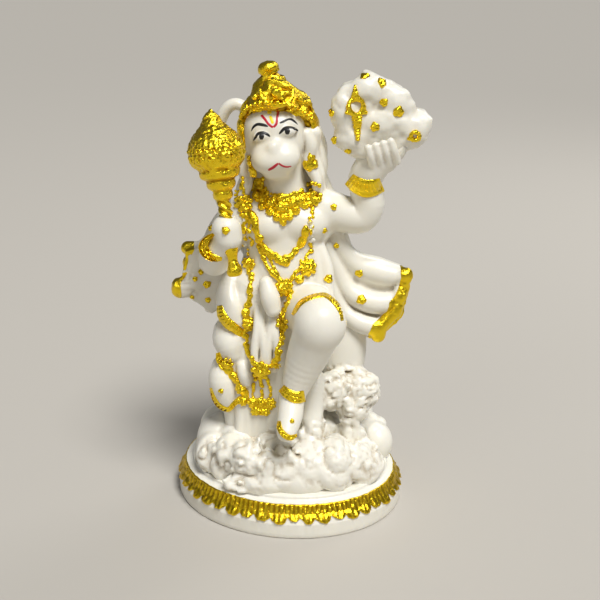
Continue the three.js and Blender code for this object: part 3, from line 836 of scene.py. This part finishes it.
# %% [markdown]
# ## Mace
# The mace is turned: a pointed dome with a fine grain and a double ring of dimples, a stack of rings that
# shrink towards the grip, and a shaft with a spiral flute that passes through the fist.

# %% Mace
MACE_FOOT = (-16.6, -22, 86.7)
MACE_TIP = (-23.6, -15.5, 137)
MACE_PROFILE = [
    (0, 0.3), (0.4, 1.9), (1.8, 2.4), (3.4, 2.0), (5, 1.5), (7, 1.8), (10, 2.2), (22, 1.9), (23.6, 1.9),
    (24.8, 2.9), (26, 3.1), (26.9, 3.0), (28, 4.2), (29.4, 4.5), (30.2, 4.4), (31.2, 5.9), (32.6, 6.3),
    (33.4, 6.3), (34.8, 7.6), (36.4, 8.4), (39.4, 8.6), (42.8, 7.3), (45, 5.4), (47, 3.5), (49.4, 2.1),
    (51.3, 0.3),
]
MACE_AXIS = unit(np.array(MACE_TIP) - MACE_FOOT)
DIMPLE_RINGS = (37.6, 39.8)


def ridge(t, place, wide):
    """A soft ridge of height 1 at one place along the mace."""
    return np.exp(-(((t - place) / wide) ** 2))


def mace_relief(x, y, z):
    away = shift(MACE_FOOT, x, y, z)
    t = dot(away, MACE_AXIS)
    turn = np.arctan2(away[1] - t * MACE_AXIS[1], away[0] - t * MACE_AXIS[0])
    flute = 0.3 * np.sin(3 * turn + 2.6 * t) * (t > 11) * (t < 24)
    dimples = sum(ridge(t, ring, 0.5) for ring in DIMPLE_RINGS) * (0.3 * np.cos(30 * turn) - 0.1)
    line = -0.2 * ridge(t, sum(DIMPLE_RINGS) / 2, 0.25)
    grain = 0.26 * noise(x, y, z, 0.8) * (t > 33) + 0.16 * noise(x, y, z, 1.2)
    return flute + dimples + line + grain


mace_clay = Clay((-33, -32, 84), (-10, -4, 139))
mace_clay.add(turned(MACE_FOOT, MACE_TIP, MACE_PROFILE), 0.3)
mace_clay.rough(egg((-20, -19, 112), (14, 14, 34)), mace_relief)
mace = mace_clay.mesh("mace")

# %% [markdown]
# ## Gold ornaments
# Collar, chains, garland and flowers are all small beads of the casting, brushed with gold. Each is laid
# out by pixels and seated where the line of sight meets the figure, so it lies on the body from every
# side.

# %% Beads and flowers
JITTER = np.random.default_rng(3)
FLOWER_RINGS = ((8, 0.74, 0.7), (5, 0.38, 1.3))


def bead(clay, u, v, radius, flat=0.8, rise=0.2):
    """One bead of a radius in mm on the figure."""
    found = seat(body, u, v)
    if found:
        clay.add(egg(found[0] + found[1] * rise, (radius, radius * flat, radius)), 0.35)


def run_along(line):
    """How far each point of a line of pixels is along it."""
    return np.concatenate([[0], np.cumsum(np.linalg.norm(np.diff(line[:, :2], axis=0), axis=1))])


def chain(clay, path, radius, step, wander=0.4):
    """Beads along a path of pixels, a step in pixels apart."""
    line = smooth_path(path, 12)
    run = run_along(line)
    for at in np.arange(0, run[-1], step):
        u, v = (np.interp(at, run, line[:, i]) + JITTER.normal(0, wander) for i in range(2))
        bead(clay, u, v, radius * JITTER.uniform(0.75, 1.25))


def flower(clay, u, v, radius):
    """A rosette: rings of petals about a rolled centre, its radius in pixels."""
    size = radius / PIXELS_PER_MM
    bead(clay, u, v, 0.8 * size, 0.5, 0.3)
    for petals, reach, rise in FLOWER_RINGS:
        for petal in range(petals):
            angle = 2 * math.pi * petal / petals + u + rise
            side, up = reach * radius * math.cos(angle), reach * radius * math.sin(angle)
            bead(clay, u + side, v + up, 0.3 * size, 0.8, rise)
    bead(clay, u, v, 0.2 * size, 1, 1.8)


print("a flower has", sum(ring[0] for ring in FLOWER_RINGS) + 2, "beads")

# %% Collar and necklaces
CHEST_BLOCK = ((-18, -26, 74), (12, 4, 116))
jewels_clay = Clay(*CHEST_BLOCK)
COLLAR_INSIDE = [
    (262.5, 180), (264, 187), (269, 193), (276, 195), (283, 195.5), (291, 195), (298, 192), (304, 189),
]
COLLAR_OUTSIDE = [
    (255, 181), (254, 194), (259, 202), (270, 208), (283, 215), (294, 209), (301, 205), (306, 200),
]
COLLAR_ROWS = 4
for share in np.arange(COLLAR_ROWS + 1) / COLLAR_ROWS:
    between = np.array(COLLAR_INSIDE) * (1 - share) + np.array(COLLAR_OUTSIDE) * share
    chain(jewels_clay, between, 0.7, 2.9, 0.5)
COLLAR_FLOWERS = [
    (281, 207, 8), (281.5, 197.5, 4.5), (292, 203, 5.5), (271, 204, 5), (262, 199, 5), (301, 200, 5.5),
    (260, 188, 4.5), (283, 217, 4.5), (256, 197, 4), (262, 207, 4.5), (270, 212.5, 4.5), (276.5, 218, 4),
    (283, 222, 4), (290, 217, 4), (296, 211.5, 4.5), (305, 206, 4.5),
]
for u, v, radius in COLLAR_FLOWERS:
    flower(jewels_clay, u, v, radius)
CHAINS = [([(252, 214), (254, 221), (256, 230), (261, 241), (267, 250), (277, 257), (284, 260), (290, 255),
            (298, 247), (304, 238), (305, 230)], 1.05, 2.8, 0.8),
          ([(251, 214), (253.5, 218), (255, 223)], 1.4, 3, 0.4),
          ([(306, 228), (304, 236), (301, 243)], 1.2, 3, 0.4),
          ([(278, 260), (284, 263), (288, 259), (286, 266)], 1.1, 2.6, 0.4),
          ([(259, 246), (262, 254), (266, 263), (270, 270), (277, 277), (284, 284)], 0.8, 2.6, 0.4),
          ([(263, 249), (270, 258), (274, 268), (280, 278)], 0.55, 2.0, 0.2),
          ([(291, 279), (295, 273), (300, 268)], 0.8, 2.6, 0.4)]
for path, radius, step, wander in CHAINS:
    chain(jewels_clay, path, radius, step, wander)
CHEST_FLOWERS = [
    (284, 287, 9.5), (307, 267, 9.5), (244, 204, 9.5), (313, 198, 9.5), (250, 264, 7), (299, 279, 5),
]
for u, v, radius in CHEST_FLOWERS:
    flower(jewels_clay, u, v, radius)
jewels = jewels_clay.mesh("necklaces")

# %% Garland
garland_clay = Clay((-28, -30, 34), (8, 0, 92))
LEFT_GARLAND = [
    (250.5, 270), (251, 282), (250, 291.5), (250, 297), (248, 306), (245, 313), (247, 323), (246, 335),
    (247, 344), (250, 356), (256, 364),
]
RIGHT_GARLAND = [
    (292, 294), (289, 301), (284, 313), (282, 323), (281, 337), (279, 347), (277, 358), (271, 366),
]
for side in (LEFT_GARLAND, RIGHT_GARLAND):
    chain(garland_clay, side, 0.85, 2.1, 1.1)
GARLAND_FLOWERS = [
    (245, 313, 5), (248, 323, 7.5), (283, 314, 4.5), (282.5, 323, 8), (282, 337, 3.5), (261, 370, 10),
    (276, 365, 3.5), (227, 363, 7), (235, 378, 5), (242, 389, 5.5), (243, 400, 5.5), (253, 402, 6),
    (261, 402, 6), (270, 403, 6.5), (256, 410, 6), (265, 411, 6),
]
for u, v, radius in GARLAND_FLOWERS:
    flower(garland_clay, u, v, radius)
chain(garland_clay, [(228, 366), (235, 377), (243, 389), (245, 400)], 1.2, 2.6, 1.2)
for tassel in ([(255, 380), (252, 397)], [(261, 380), (262, 397)], [(268, 379), (271, 396)]):
    chain(garland_clay, tassel, 0.6, 2.4, 0.7)
garland = garland_clay.mesh("garland")

# %% [markdown]
# Two long strands of tiny beads hang from the shoulders. Their gold is rubbed through to the white in
# places, so they take the marble's material, and a noise says where the paint is left.

# %% Rubbed strands
strand_clay = Clay(*CHEST_BLOCK)
RUBBED = [
    [(311, 206), (312, 218), (311, 230), (311.5, 242), (310, 254)],
    [(243, 214), (244, 231), (246, 247), (249, 257)], [(247, 214), (249, 231), (252, 244)],
    [(242, 180), (243, 188), (246, 196)], [(236, 190), (239, 198)], [(308, 184), (313, 182), (318, 184)],
    [(306, 256), (303, 262), (302, 270)],
]
for path in RUBBED:
    chain(strand_clay, path, 0.6, 1.6, 1.3)
strands = strand_clay.mesh("bead_strands")
set_mask(strands, "gold", 0.68 + 0.5 * noise(*corner_places(strands).T, 1.6))

# %% [markdown]
# ## Bands and brush strokes
# Bangles, hems and the painted face are ribbons that hug the surface. Each ribbon is a strip of small
# faces: every corner is seated on the piece and lifted a little along the surface's outward direction,
# more in the middle.

# %% Ribbons on a surface
STEP_LIMIT = 1.6


def seat_near(u, v, near):
    """A place on the figure or, past its edge, one on the line of sight as deep as the place before."""
    found = seat(body, u, v)
    if near is None:
        return found
    if found is None or abs(found[0][1] - near[0][1]) > STEP_LIMIT:
        return spot(u, v, near[0][1]), near[1]
    return found


def ribbon(name, path, lift, rows, step, knots=0.0):
    """A strip along a path of (u, v, width) in pixels on the figure, lifted by up to lift mm."""
    line = smooth_path(path, 16)
    run = run_along(line)
    count = max(int(run[-1] / step), 3)
    seats, places = [], []
    for i in range(count + 1):
        at = run[-1] * i / count
        u, v, wide = (np.interp(at, run, line[:, k]) for k in range(3))
        after, before = min(at + 0.5, run[-1]), max(at - 0.5, 0)
        ahead = [np.interp(after, run, line[:, k]) - np.interp(before, run, line[:, k]) for k in range(2)]
        size = math.hypot(*ahead) or 1
        end = min(1, 4 * min(i, count - i) / count + 0.1)
        for row in range(rows + 1):
            side = 2 * row / rows - 1
            at_u = u - ahead[1] / size * side * wide / 2
            at_v = v + ahead[0] / size * side * wide / 2
            place, outward = seat_near(at_u, at_v, seats[-rows - 1] if i else (seats[-1] if row else None))
            seats.append((place, outward))
            rope = math.sin(1.8 * at + 2 * side) * math.exp(-((side / 0.45) ** 2))
            strands_across = 0.5 * math.cos(2.6 * math.pi * side)
            knot = knots * (rope + strands_across + 0.4 * math.sin(0.9 * at + u + 5 * side))
            height = (lift * math.sqrt(max(1 - side**4, 0)) + knot * (1 - side**2)) * end - 0.02
            places.append(place + outward * height)
    return piece_from(name, places, ring_faces(count + 1, rows + 1, closed=False))


print("ribbons keep within", STEP_LIMIT, "mm of the depth before")

# %% The painted face
FACE_STROKES = {
    "brow_right": ("black", [
        (251, 131.6, 0.8), (253.5, 127, 2.4), (257.3, 124.4, 3), (261.8, 124.7, 3.4), (265.6, 125.6, 2.8),
        (268.4, 126.7, 1.2)]),
    "brow_left": ("black", [
        (279.4, 123.2, 1.8), (283.5, 121.4, 2.6), (287.9, 119.4, 2), (291.2, 119.3, 2.4), (295, 121.8, 2),
        (298, 124.8, 0.6)]),
    "lid_right": ("black", [
        (253.1, 141, 1.4), (255.4, 137.6, 2.6), (258, 133.8, 3), (261.8, 132.7, 3.2), (265.6, 133.4, 3),
        (268.2, 135.1, 2.8), (270.3, 136.9, 1.6)]),
    "lid_left": ("black", [
        (279, 134.4, 1.8), (281.6, 131.2, 3), (284.7, 128.4, 3.4), (288.6, 127.4, 3), (292.4, 127.7, 2.6),
        (295.6, 129.3, 2.6), (298.3, 130.5, 1.6)]),
    "pupil_right": ("black", [(261.5, 134, 4.8), (261.5, 136.6, 5.6), (261.5, 139.8, 3)]),
    "pupil_left": ("black", [(287.3, 128.6, 4.8), (287.3, 131.6, 5.6), (287.3, 134.6, 3)]),
    "mark_right": ("red", [(261, 114.8, 3), (265.3, 119.8, 2.6), (268.8, 124.4, 2.6), (273.3, 127.6, 2.8)]),
    "mark_left": ("red", [
        (273.3, 127.6, 2.8), (276.4, 123.6, 2.6), (277.2, 117.2, 2.5), (278.5, 110.4, 3.2)]),
    "mark_dot": ("yellow", [(269.4, 110.2, 3.8), (269.4, 112.2, 5), (269.4, 114, 3.6)]),
    "mark_drop": ("yellow", [(269.9, 115.6, 2.4), (271.4, 119, 3.4), (273, 123.8, 3)]),
    "mouth_right": ("red", [(268, 170.4, 2.4), (273.3, 167.4, 3), (278.4, 163.2, 2.4)]),
    "mouth_left": ("red", [
        (278.4, 163.2, 2.2), (282.2, 165.7, 1.9), (286.7, 167, 1.9), (291.6, 166.2, 1.3)]),
}
PAINT = {"black": [], "red": [], "yellow": [], "gold": []}
for name, (colour, path) in FACE_STROKES.items():
    PAINT[colour].append(ribbon(name, path, 0.12, 6, 0.5))
print("strokes on the face:", len(FACE_STROKES))

# %% Gold hems and bands
GOLD_BANDS = {
    "bangle_raised_arm": ([
        (349, 179, 13.5), (356, 184.5, 16), (364.6, 188.5, 18), (373, 188, 17), (382, 184.5, 14.5)], 0.9),
    "bangle_mace_arm": ([
        (214, 234, 3), (207.5, 239, 7), (204, 246.5, 9.5), (207, 253.6, 9), (214, 258, 7),
        (222, 259, 4)], 0.8),
    "anklet": ([(281.2, 388, 8.5), (288, 394, 10.5), (296, 397.5, 12), (304.8, 396, 12)], 0.8),
    "knee_hem": ([
        (292.5, 315, 3), (295, 311, 4.4), (300, 304, 4.6), (307, 299.4, 4.4), (316, 296.4, 4.2),
        (325.7, 296, 4), (334.6, 303, 4.4), (341, 312.4, 4.6), (343, 320.6, 4.8)], 0.6),
    "thigh_band": ([
        (219.4, 305.4, 5.6), (221, 312, 8), (226, 321, 10), (235, 328.5, 10), (243, 334, 8)], 0.7),
    "calf_band": ([(217.8, 352.6, 4.4), (219.6, 359, 6), (223, 366, 8), (228, 369, 6)], 0.7),
    "ankle_hem": ([
        (210.6, 388, 2.8), (214, 397.6, 3.6), (219.5, 405.6, 4.4), (228, 409.4, 4.6), (234, 404, 5.4),
        (240.6, 398, 6)], 0.5),
    "toe_band": ([
        (279, 421, 3.8), (280, 428.4, 5.2), (284.4, 434.8, 6), (290.4, 437.4, 5), (297, 435, 3)], 0.6),
}
for name, (path, lift) in GOLD_BANDS.items():
    PAINT["gold"].append(ribbon(name, path, lift, 12, 0.6, 0.3))
print("ribbons:", {colour: len(strips) for colour, strips in PAINT.items()})

# %% [markdown]
# Dots of gold are dabbed on the cape and the mountain, and a few on the hand and the feet. Each is a
# lumpy drop of five rings, seated on the line of sight. It is too small for a block of clay, and a
# plain sphere would look like a pin's head.

# %% Dabs of gold
DAB_SIDES = 16
DAB_RINGS = [(1.05, -0.25), (1, 0.2), (0.78, 0.5), (0.5, 0.62), (0.2, 0.7)]
FIGURE_DABS = [
    (333.7, 207, 3.4), (324.6, 230.5, 3), (336.3, 245.6, 3), (328.6, 278.8, 4.4), (359, 273.6, 4.4),
    (361.4, 299.7, 5), (225.6, 230.6, 3.8), (211, 228, 3.4), (221, 391, 2.8), (292, 421, 2.4),
    (201, 272, 3), (195, 279, 2.8), (207, 284.4, 4.4), (208, 300, 3.2), (192, 297, 2.4),
]
MOUNTAIN_DABS = [(364.6, 76, 4.6), (382, 82.5, 5), (383.8, 102.6, 4.2), (398.6, 112, 5.4), (375, 127, 4.6),
                 (348, 151, 3.6), (334, 140, 4), (331.5, 112.7, 4)]


def dabs(name, target, spots):
    """Lumpy drops of gold at (u, v, radius in pixels)."""
    places, faces = [], []
    for u, v, radius in spots:
        place, outward = seat(target, u, v)
        side = unit(np.cross(outward, (0, 0, 1)))
        up = np.cross(side, outward)
        faces += ring_faces(len(DAB_RINGS), DAB_SIDES, len(places))
        for share, height in DAB_RINGS:
            for angle in np.arange(DAB_SIDES) * 2 * math.pi / DAB_SIDES:
                lump = 1 + 0.09 * math.sin(3 * angle + u) + 0.1 * math.sin(5 * angle + v)
                reach = radius / PIXELS_PER_MM * share * lump
                rise = height + 0.2 * math.sin(3 * angle + v) * share * (1.05 - share) * 4
                across = side * reach * math.cos(angle) + up * reach * math.sin(angle)
                places.append(place + across + outward * rise)
        faces.append(tuple(range(len(places) - DAB_SIDES, len(places))))
    return piece_from(name, places, faces)


PAINT["gold"].append(dabs("dabs_on_figure", body, FIGURE_DABS))
PAINT["gold"].append(dabs("dabs_on_mountain", mountain, MOUNTAIN_DABS))
print("dabs:", len(FIGURE_DABS) + len(MOUNTAIN_DABS))

# %% [markdown]
# An open ring of beads with a finial above and a ribbed stem below is moulded on the mountain, and a
# small ring lies at its far edge. The earrings are two drops of rough gold.

# %% Emblem on the mountain
emblem_clay = Clay((14, -14, 112), (48, 0, 146))


def emblem_bead(u, v, wide, tall):
    """A bead seated on the mountain, its half-sizes in pixels."""
    found = seat(mountain, u, v)
    if found:
        emblem_clay.add(drawn_egg(found[0] + found[1] * 0.2, wide, 0.9, tall), 0.3)


RINGS = [(356, 106.5, 7.6, 8.2, 16, 2.7), (415, 136, 4.2, 4.0, 9, 2.3)]
for u, v, wide, tall, beads, size in RINGS:
    for number in range(beads):
        angle = 2 * math.pi * number / beads
        swell = size * (1 + 0.15 * math.sin(3 * angle))
        emblem_bead(u + wide * math.cos(angle), v + tall * math.sin(angle), swell, swell)
FINIAL = [(355.2, 87, 1.4, 2.2), (355.2, 90, 2.4, 2.2), (355.2, 93, 3.4, 2.2), (355.2, 96, 4.2, 2.2)]
RING_EARS = [(346.6, 112.5, 2.2, 2.2), (365.4, 112.5, 2.2, 2.2)]
STEM_RIBS = 9
STEM = [(356.6 + 0.15 * rib, 117.5 + 2.7 * rib, 6.0 - 0.45 * rib, 1.7) for rib in range(STEM_RIBS)]
FAR_KNOT = [(409, 138.5, 2.2, 1.8)]
for u, v, wide, tall in FINIAL + RING_EARS + STEM + FAR_KNOT:
    emblem_bead(u, v, wide, tall)
emblem_clay.rough(egg((30, -6, 130), (20, 12, 20)), lambda x, y, z: 0.1 * noise(x, y, z, 0.9))
emblem = emblem_clay.mesh("mountain_emblem")

# %% Earrings
earring_clay = Clay((-16, -14, 112), (12, 2, 126))
EARRINGS = [(248.6, 157.5, -7, 2.4), (250, 163, -7.4, 3.2), (252.4, 169, -7.8, 4.4), (254, 174, -7.6, 3.8),
            (309.6, 152.6, -5, 2.6), (310.4, 157.5, -5.4, 4.8), (309, 165, -5.8, 6.4), (314, 164, -5, 4.4)]
for u, v, depth, radius in EARRINGS:
    earring_clay.add(drawn_egg(spot(u, v, depth), radius, 1.6, radius), 0.4)
earring_clay.rough(egg((-2, -6, 119), (16, 8, 8)), lambda x, y, z: 0.3 * noise(x, y, z, 1.1))
earrings = earring_clay.mesh("earrings")
PAINT["gold"] += [crown, mace, jewels, garland, emblem, earrings]
print("gold pieces:", len(PAINT["gold"]))

# %% [markdown]
# ## Where the gold goes on the cape
# The cape's hem and the ends of its folds are brushed gold. The paint's edge is a value at each corner of
# the mesh: above a half is gold. It comes from an outline drawn in pixels, with a small waver, as a brush
# leaves.

# %% Painted hems
HEMS = [
    [(400, 261), (418, 264), (418, 288), (416, 306), (410, 322), (394, 345), (366, 346), (369, 334),
     (373, 325), (380, 317), (387, 311), (389, 303), (395, 296), (399, 289), (401, 278)],
    [(172, 236), (194.5, 236), (194.5, 252), (186, 257), (172, 257)],
    [(175, 257), (188, 258), (186, 270), (175, 272)],
    [(160, 270), (187, 272.5), (185, 277), (180, 284), (182, 304), (160, 306)],
]
BRUSH_WAVER = 1.2


def paint_hems(piece):
    """Store how far each corner lies inside a painted outline."""
    places = corner_places(piece)
    u, v = pixels(places).T
    edges = [slab(outline, 0, FAR)[2](u, 0, v) for outline in HEMS]
    values = np.clip(0.5 - (np.min(edges, 0) + BRUSH_WAVER * noise(*places.T, 2)) / 4, 0, 1)
    set_mask(piece, "gold", values)
    print(piece.name, "gold corners", int((values > 0.5).sum()))


for piece in (body, mountain, rocks, tail):
    paint_hems(piece)

# %% [markdown]
# ## Finishes
# Marble dust and resin is off-white, satin and faintly translucent. The gold is a metallic paint, brushed
# on by hand: bright on the raised parts, with brown shade painted into its hollows. Every block of clay
# has noted how deep each corner lies, so a shared group mixes two tones with a cloud and a third, a
# painted shade, by that depth.

# %% Shader nodes
def set_inputs(node, values):
    """Set a node's inputs by name, with _ for a space."""
    for label, value in values.items():
        node.inputs[label.replace("_", " ")].default_value = value


def new_node(tree, kind, **values):
    node = tree.nodes.new("ShaderNode" + kind)
    set_inputs(node, values)
    return node


def wire(tree, *links):
    """Join outputs to inputs, pair by pair."""
    for source, target in links:
        tree.links.new(source, target)


def colour_mix(tree, share, first, second):
    """The first colour where the share is 0, the second where it is 1."""
    mix = new_node(tree, "Mix")
    mix.data_type = "RGBA"
    wire(tree, (share, mix.inputs["Factor"]), (first, mix.inputs["A"]), (second, mix.inputs["B"]))
    return mix.outputs["Result"]


def corner_mask(tree, name):
    """The value that each corner of the mesh holds under a name."""
    node = new_node(tree, "Attribute")
    node.attribute_name = name
    return node.outputs["Fac"]


def spread(tree, value, **ends):
    """A value carried from one range to another."""
    node = new_node(tree, "MapRange", **ends)
    wire(tree, (value, node.inputs["Value"]))
    return node.outputs["Result"]


print("helpers for shader nodes are ready")

# %% Shared effects
# The third tone of each is a painted shade that the shared group lays into creases.
MARBLE_TONES_AND_SHADE = ((0.86, 0.83, 0.74, 1), (0.79, 0.76, 0.66, 1), (0.58, 0.51, 0.39, 1))
GOLD_TONES_AND_SHADE = ((1.0, 0.78, 0.035, 1), (0.92, 0.60, 0.016, 1), (0.36, 0.15, 0.003, 1))
MOTTLE_INPUTS = {"Light": "Color", "Dark": "Color", "Shade": "Color", "Size": "Float"}
MOTTLE_OUTPUTS = {"Color": "Color", "Height": "Float", "Hollow": "Float"}


def mottle_and_shade_group():
    """Two tones that change slowly over the surface, painted shade in its hollows, and a height for a bump.
    """
    group = bpy.data.node_groups.new("mottle_and_crease_shade", "ShaderNodeTree")
    for side, sockets in (("INPUT", MOTTLE_INPUTS), ("OUTPUT", MOTTLE_OUTPUTS)):
        for label, kind in sockets.items():
            group.interface.new_socket(label, in_out=side, socket_type="NodeSocket" + kind)
    given, result = group.nodes.new("NodeGroupInput").outputs, group.nodes.new("NodeGroupOutput").inputs
    place = new_node(group, "TexCoord")
    cloud = new_node(group, "TexNoise", Detail=5)
    hollow = corner_mask(group, "hollow")
    tones = colour_mix(group, cloud.outputs["Fac"], given["Dark"], given["Light"])
    # Painted shade: the colour goes over to the third tone as a corner lies deeper in a crease.
    wire(group, (place.outputs["Object"], cloud.inputs["Vector"]), (given["Size"], cloud.inputs["Scale"]),
         (colour_mix(group, hollow, tones, given["Shade"]), result["Color"]),
         (cloud.outputs["Fac"], result["Height"]), (hollow, result["Hollow"]))
    return group


MOTTLE_AND_SHADE = mottle_and_shade_group()


def place_mottle_and_shade(tree, tones, size):
    """The shared group in a material, with the material's own tones and size."""
    node = tree.nodes.new("ShaderNodeGroup")
    node.node_tree = MOTTLE_AND_SHADE
    set_inputs(node, dict(zip(("Light", "Dark", "Shade"), tones), Size=size))
    return node.outputs


def new_material(name, **values):
    """A material, its tree and the inputs of its shader."""
    material = bpy.data.materials.new(name)
    material.use_nodes = True
    shader = material.node_tree.nodes["Principled BSDF"]
    set_inputs(shader, values)
    return material, material.node_tree, shader.inputs


def add_bump(tree, shader, height):
    """Brushed grain, 0.3 mm high at most."""
    bump = new_node(tree, "Bump", Strength=0.8, Distance=0.0003)
    wire(tree, (height, bump.inputs["Height"]), (bump.outputs["Normal"], shader["Normal"]))


print("shared group:", MOTTLE_AND_SHADE.name)

# %% [markdown]
# The marble is one Principled shader. Scattering under the surface gives its thin parts a faint glow. The
# painted gold could be a second mesh, but here the corner value named gold turns the same shader to
# metal, so the edge of the paint is as fine as the mesh.

# %% Marble, with gold where the mesh says so
def marble_material():
    material, tree, shader = new_material("marble_and_gold", Subsurface_Weight=0.2, Subsurface_Scale=0.0015,
                                          Subsurface_Radius=(1.0, 0.85, 0.6))
    # The shared group paints shade into the creases of the stone and of the gilt.
    stone = place_mottle_and_shade(tree, MARBLE_TONES_AND_SHADE, 90)
    gilt = place_mottle_and_shade(tree, GOLD_TONES_AND_SHADE, 500)
    grain = place_mottle_and_shade(tree, GOLD_TONES_AND_SHADE, 1500)
    edge = spread(tree, corner_mask(tree, "gold"), From_Min=0.46, From_Max=0.54)
    relief = new_node(tree, "Math")
    relief.operation = "MULTIPLY"
    wire(tree, (colour_mix(tree, edge, stone["Color"], gilt["Color"]), shader["Base Color"]),
         (edge, shader["Metallic"]), (spread(tree, edge, To_Min=0.33, To_Max=0.28), shader["Roughness"]),
         (grain["Height"], relief.inputs[0]), (edge, relief.inputs[1]))
    add_bump(tree, shader, relief.outputs["Value"])
    return material


MARBLE = marble_material()
print("marble tones:", MARBLE_TONES_AND_SHADE)

# %% [markdown]
# Ornaments that are gold all over need no such value, so they have a plain metal of their own. It is
# rougher in its hollows, where a brush doesn't rub. The eyes, the mouth and the mark on the brow are
# enamel in one colour each.

# %% Brushed gold and enamel
def gold_material():
    material, tree, shader = new_material("brushed_gold", Metallic=1.0)
    # The shared group paints brown shade into the creases of the gilt.
    gilt = place_mottle_and_shade(tree, GOLD_TONES_AND_SHADE, 450)
    grain = place_mottle_and_shade(tree, GOLD_TONES_AND_SHADE, 1500)
    wire(tree, (gilt["Color"], shader["Base Color"]),
         (spread(tree, gilt["Hollow"], To_Min=0.27, To_Max=0.5), shader["Roughness"]))
    add_bump(tree, shader, grain["Height"])
    return material


def enamel_material(name, light, dark):
    material, tree, shader = new_material(name, Roughness=0.4)
    wire(tree, (place_mottle_and_shade(tree, (light, dark, dark), 700)["Color"], shader["Base Color"]))
    return material


FINISHES = {
    "black": enamel_material("black_enamel", (0.012, 0.012, 0.012, 1), (0.006, 0.006, 0.008, 1)),
    "red": enamel_material("red_enamel", (0.60, 0.012, 0.035, 1), (0.42, 0.008, 0.025, 1)),
    "yellow": enamel_material("yellow_enamel", (1.0, 0.80, 0.02, 1), (0.9, 0.65, 0.01, 1)),
    "gold": gold_material(),
    "marble": MARBLE,
}
PAINT["marble"] = [body, tail, mountain, rocks, plinth, strands]
for finish, pieces in PAINT.items():
    for piece in pieces:
        piece.data.materials.clear()
        piece.data.materials.append(FINISHES[finish])
print("materials:", [m.name for m in bpy.data.materials])

# %% [markdown]
# ## Studio
# A pale floor that runs past the horizon, a wide sun high above the front, a weak fill and a rim lamp.
# The colours go to the screen as they are, since Blender's default film look turns saturated gold to
# beige.

# %% Floor
FLOOR_REACH = 40
FLOOR_CORNERS = [(FLOOR_REACH * x, FLOOR_REACH * y, 0) for x, y in ((-1, -1), (1, -1), (1, 1), (-1, 1))]
floor_data = bpy.data.meshes.new("floor")
floor_data.from_pydata(FLOOR_CORNERS, [], [(0, 1, 2, 3)])
floor_paint = new_material("studio_floor", Base_Color=(0.50, 0.47, 0.42, 1), Roughness=0.8)[0]
floor_data.materials.append(floor_paint)
floor = put("floor", floor_data)
print("floor reaches", FLOOR_REACH, "m")

# %% Light
WORLD_LIGHT = 0.11
world = bpy.data.worlds.new("studio")
bpy.context.scene.world = world
world.use_nodes = True
world.node_tree.nodes["Background"].inputs["Color"].default_value = (0.96, 0.98, 1, 1)
world.node_tree.nodes["Background"].inputs["Strength"].default_value = WORLD_LIGHT
bpy.context.scene.view_settings.view_transform = "Standard"

sun = put("key", bpy.data.lights.new("key", "SUN"))
sun.data.energy = 3.3
sun.data.angle = 0.4
sun.rotation_euler = Vector((0.2, -0.36, 0.67)).to_track_quat("Z", "Y").to_euler()

MIDDLE = Vector((0, 0, 0.07))
LAMPS = {"fill": ((-0.5, -0.6, 0.5), 0.5, 0.8), "rim": ((0.45, 0.4, 0.55), 0.3, 1.1)}
for name, (place, size, power) in LAMPS.items():
    lamp = put(name, bpy.data.lights.new(name, "AREA"))
    lamp.data.size = size
    lamp.data.energy = power
    lamp.location = place
    lamp.rotation_euler = (MIDDLE - Vector(place)).to_track_quat("-Z", "Y").to_euler()
print("world", WORLD_LIGHT, "lamps", len(bpy.data.lights))
